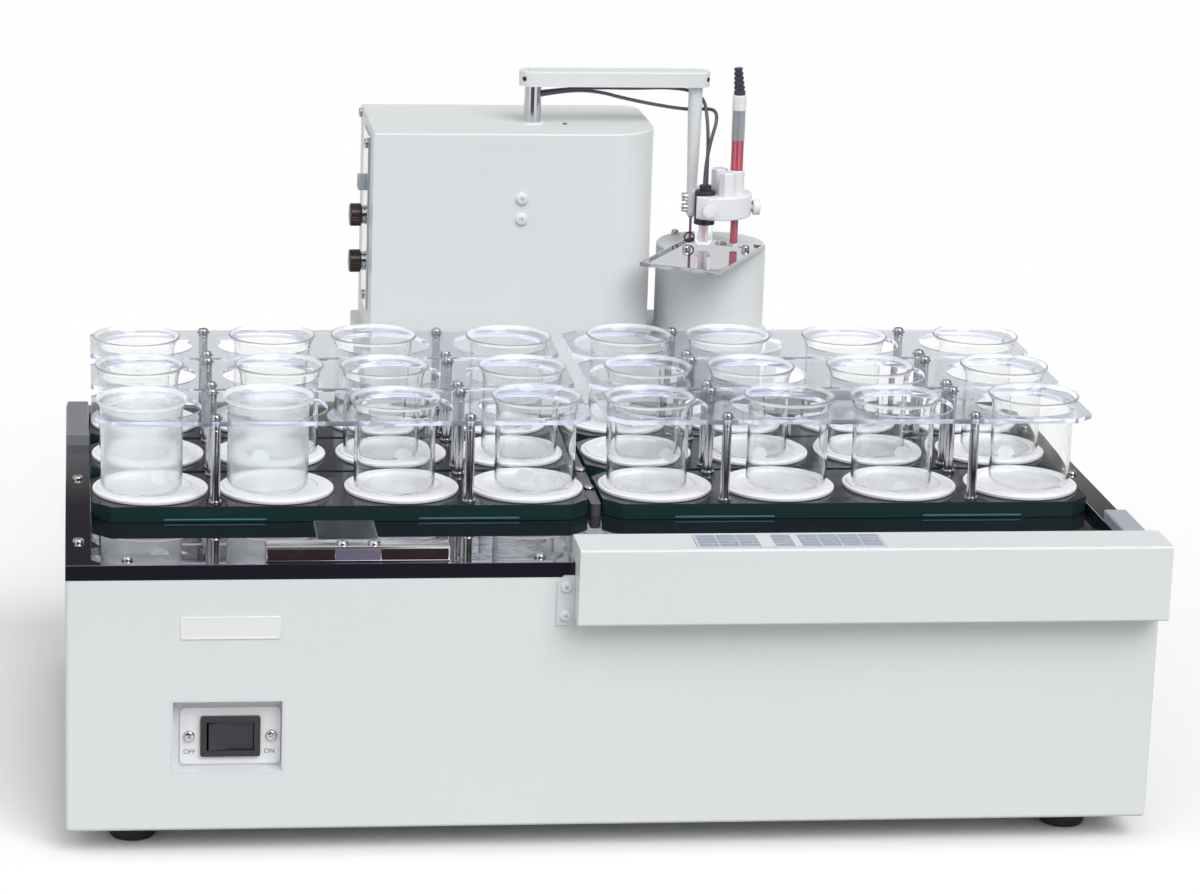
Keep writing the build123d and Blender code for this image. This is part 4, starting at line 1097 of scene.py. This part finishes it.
slotted = turned(
    "slotted_pattern",
    [(3.1, 0), (3.1, 1.2), (2.7, 1.3), (2.7, 1.7), (3.1, 1.8), (3.1, 3.0), (2.8, 3.5), (1, 3.6)],
    24,
)
bpy.ops.mesh.primitive_cube_add(size=1, location=(0, 0, 3.6 * mm), scale=(7 * mm, 0.9 * mm, 2.0 * mm))
cutter = bpy.context.object
softened(cutter, 0.0001, 1)
cut_away(slotted, cutter)
on_rod = [facing_left(101.6, 180.5, z, turn) for z, turn in ((324.3, 10), (316.6, 80))]
clamps = copies(slotted, "rod_clamp_screws", on_rod)
fixed(clamps, "arm", "chrome_screws", chrome)
discard(slotted)

# ---- Dosing nozzle ----
# A thin tinted tube runs down inside the rod and comes out of its lower end. A black ring on it stops drops
# from creeping up.
nozzle_tint = finish_of(
    "tinted_nozzle", tone(168, 120, 152), tone(130, 88, 122), (0.1, 0.2), drift=0.7, grain=2000,
    cloud_scale=90, bump=0.02,
    Transmission_Weight=0.3, IOR=1.4,
)
nozzle = turned(
    "nozzle_pattern", [(0.5, 0), (0.8, 0.2), (0.95, 3.0), (1.0, 16.5), (1.9, 16.6), (1.9, 17.6)], 20
)
fixed(copies(nozzle, "rod_nozzle", [at(105, 180.5, 293.2)]), "arm", "grey_plastic", nozzle_tint)
discard(nozzle)
bpy.ops.object.select_all(action="DESELECT")
bpy.ops.mesh.primitive_torus_add(
    major_segments=32,
    minor_segments=10,
    major_radius=0.0034,
    minor_radius=0.00055,
    location=(0.1042, 0.1785, 0.2956),
    rotation=(math.radians(84), math.radians(8), 0),
)
drop_ring = bpy.context.object
drop_ring.name = "nozzle_ring"
edit_faces(drop_ring, lambda face: True)
bpy.ops.mesh.subdivide(number_cuts=1, smoothness=1.0)
done(drop_ring)
fixed(drop_ring, "arm", "black_rubber", black_rubber)

# ---- Electrode holder ----
# A white fluoropolymer block clamps both electrodes. White cap nuts and knurled thumbscrews are turned from
# the same stock, so all of it looks a little milky.
milky = finish_of(
    "milky_polymer", tone(240, 240, 243), tone(226, 226, 233), (0.38, 0.5), drift=0.5, grain=1200,
    cloud_scale=50, bump=0.03,
    Subsurface_Weight=0.15, Subsurface_Scale=0.004,
)
for name in ("electrode_holder", "holder_nuts"):
    coat(nodes[name], milky)


def fluted_knob(name, radius, height, shank, reach):
    """A thumbscrew: a head with flutes cut round it, and a plain shank that reaches back."""
    made = turned(
        name,
        [
            (shank, -reach), (shank, 0), (radius - 0.4, 0), (radius, 0.5), (radius, height - 0.8),
            (radius - 0.5, height - 0.2), (radius - 1.4, height), (1, height),
        ],
        40,
    )
    edit_faces(made, lambda face: fluted(face, (radius - 0.2) * mm, 9))
    bpy.ops.mesh.inset(thickness=0.0001, depth=-0.00035, use_individual=True)
    return done(made, 30)


front_knob = fluted_knob("front_knob_pattern", 4.75, 5.5, 1.95, 7.0)
knurled = copies(front_knob, "knurled_front_knob", [facing_front(111.9, 149.6, 320.9)])
fixed(knurled, "front_knob", "white_plastic", milky, "thumbscrew_front")
side_knob = fluted_knob("side_knob_pattern", 5.5, 5.0, 1.95, 9.0)
knurled = copies(side_knob, "knurled_side_knob", [placed(146.5, 166.7, 319.9, ("Y", 90))])
fixed(knurled, "side_knob", "white_plastic", milky, "thumbscrew_side")
small_knob = fluted_knob("rear_knob_pattern", 4.2, 4.2, 1.9, 4.0)
knurled = copies(small_knob, "knurled_rear_knob", [placed(143.4, 186.8, 323.5, ("Z", 32), ("Y", 90))])
fixed(knurled, "arm", "white_plastic", milky)
discard(front_knob, side_knob, small_knob)

# ---- Sensing electrode ----
# A black moulded cap with a gland for the leads, over a clear glass tube with three slim stems inside.
coat(nodes["electrode_cap"], black_plastic)
coat(nodes["electrode_glass"], glass)
stem_tint = finish_of(
    "pink_stem", tone(222, 196, 210), tone(190, 150, 172), (0.1, 0.2), drift=0.8, grain=1800, cloud_scale=140,
    bump=0.02, IOR=1.4
)
stem = turned("stem_pattern", [(0.4, 0), (0.8, 0.4), (0.9, 1.2), (0.9, 12.8), (0.5, 12.9)], 20)
stems = copies(
    stem, "electrode_stems", [at(109.6, 163.6, 295.2), at(113.4, 164.6, 295.2), at(112.0, 166.6, 295.2)]
)
fixed(stems, "arm", "grey_plastic", stem_tint)
discard(stem)

# ---- Second probe ----
# A glass tube filled with red electrolyte, wider above its nut, with a grey translucent connector, a white
# ferrule and a ribbed black boot.
red_glass = finish_of(
    "red_filled_glass", tone(206, 84, 106), tone(168, 52, 80), (0.04, 0.09), drift=0.7, grain=900,
    cloud_scale=60, bump=0.01,
    IOR=1.8, Coat_Weight=1.0, Coat_Roughness=0.03,
)


def paint_outline_light_and_shade(material, colour, power):
    """Paints a round clear piece another colour towards its outline, darker for painted shade and lighter for
    a painted highlight, in place of what a thick wall does to light.
    """
    net = material.node_tree
    shader = net.nodes["Principled BSDF"]
    was = shader.inputs["Base Color"].links[0].from_socket
    rim = chain(
        net,
        "ShaderNodeMath",
        net.nodes.new("ShaderNodeLayerWeight").outputs["Facing"],
        power,
        operation="POWER",
    )
    net.links.new(mixed(net, rim, was, colour), shader.inputs["Base Color"])
    return material


# Painted shade: the red tube is painted darker towards its outline.
paint_outline_light_and_shade(red_glass, tone(120, 28, 58), 1.6)
coat(nodes["probe_glass"], red_glass)
grey_clear = finish_of(
    "grey_plastic", tone(150, 154, 162), tone(132, 136, 144), (0.08, 0.16), drift=0.6, grain=1500,
    cloud_scale=90, bump=0.02,
    IOR=1.6, Coat_Weight=0.6, Coat_Roughness=0.05,
)
# Painted highlight: the grey connector is painted lighter towards its outline.
paint_outline_light_and_shade(grey_clear, tone(214, 216, 222), 1.3)
ferrule_foot = 0.3893
beyond(grey_clear, ferrule_foot, tone(238, 238, 240))
coat(nodes["probe_connector"], grey_clear)
boot_rings = [(3.6, 0), (4.1, 0.2)]
for rib in range(5):
    low, radius = 1.2 + rib * 3.3, 4.05 - rib * 0.2
    boot_rings += [(radius, low), (radius, low + 1.5), (radius - 0.75, low + 1.9), (radius - 0.75, low + 2.9)]
boot_rings += [(3.15, 17.9), (3.0, 19.0), (2.4, 19.25), (1.0, 19.25)]
boot = turned("boot_pattern", boot_rings, 32)
lean = placed(133.9, 166.7, 400, ("Y", math.degrees(math.atan2(-1.8, 19.3))))
boot_black = finish_of(
    "boot_rubber", tone(72, 66, 84), tone(54, 50, 64), (0.4, 0.55), grain=2200, cloud_scale=80, bump=0.1
)
fixed(copies(boot, "ribbed_boot", [lean]), "arm", "black_plastic", boot_black, "probe_boot")
discard(boot)

# ---- Rinse housing and drip tray ----
# A round painted housing stands on the pedestal. A folded tray of mirror polished steel is screwed on top of
# it under the electrodes, turned to one side.
coat(nodes["rinse_housing"], white_paint)
mirror_steel = finish_of(
    "mirror_steel", tone(212, 213, 217), tone(196, 197, 202), (0.02, 0.05), drift=0.4, grain=1200, bump=0.002,
    Metallic=0.9
)
coat(nodes["drip_tray"], mirror_steel)
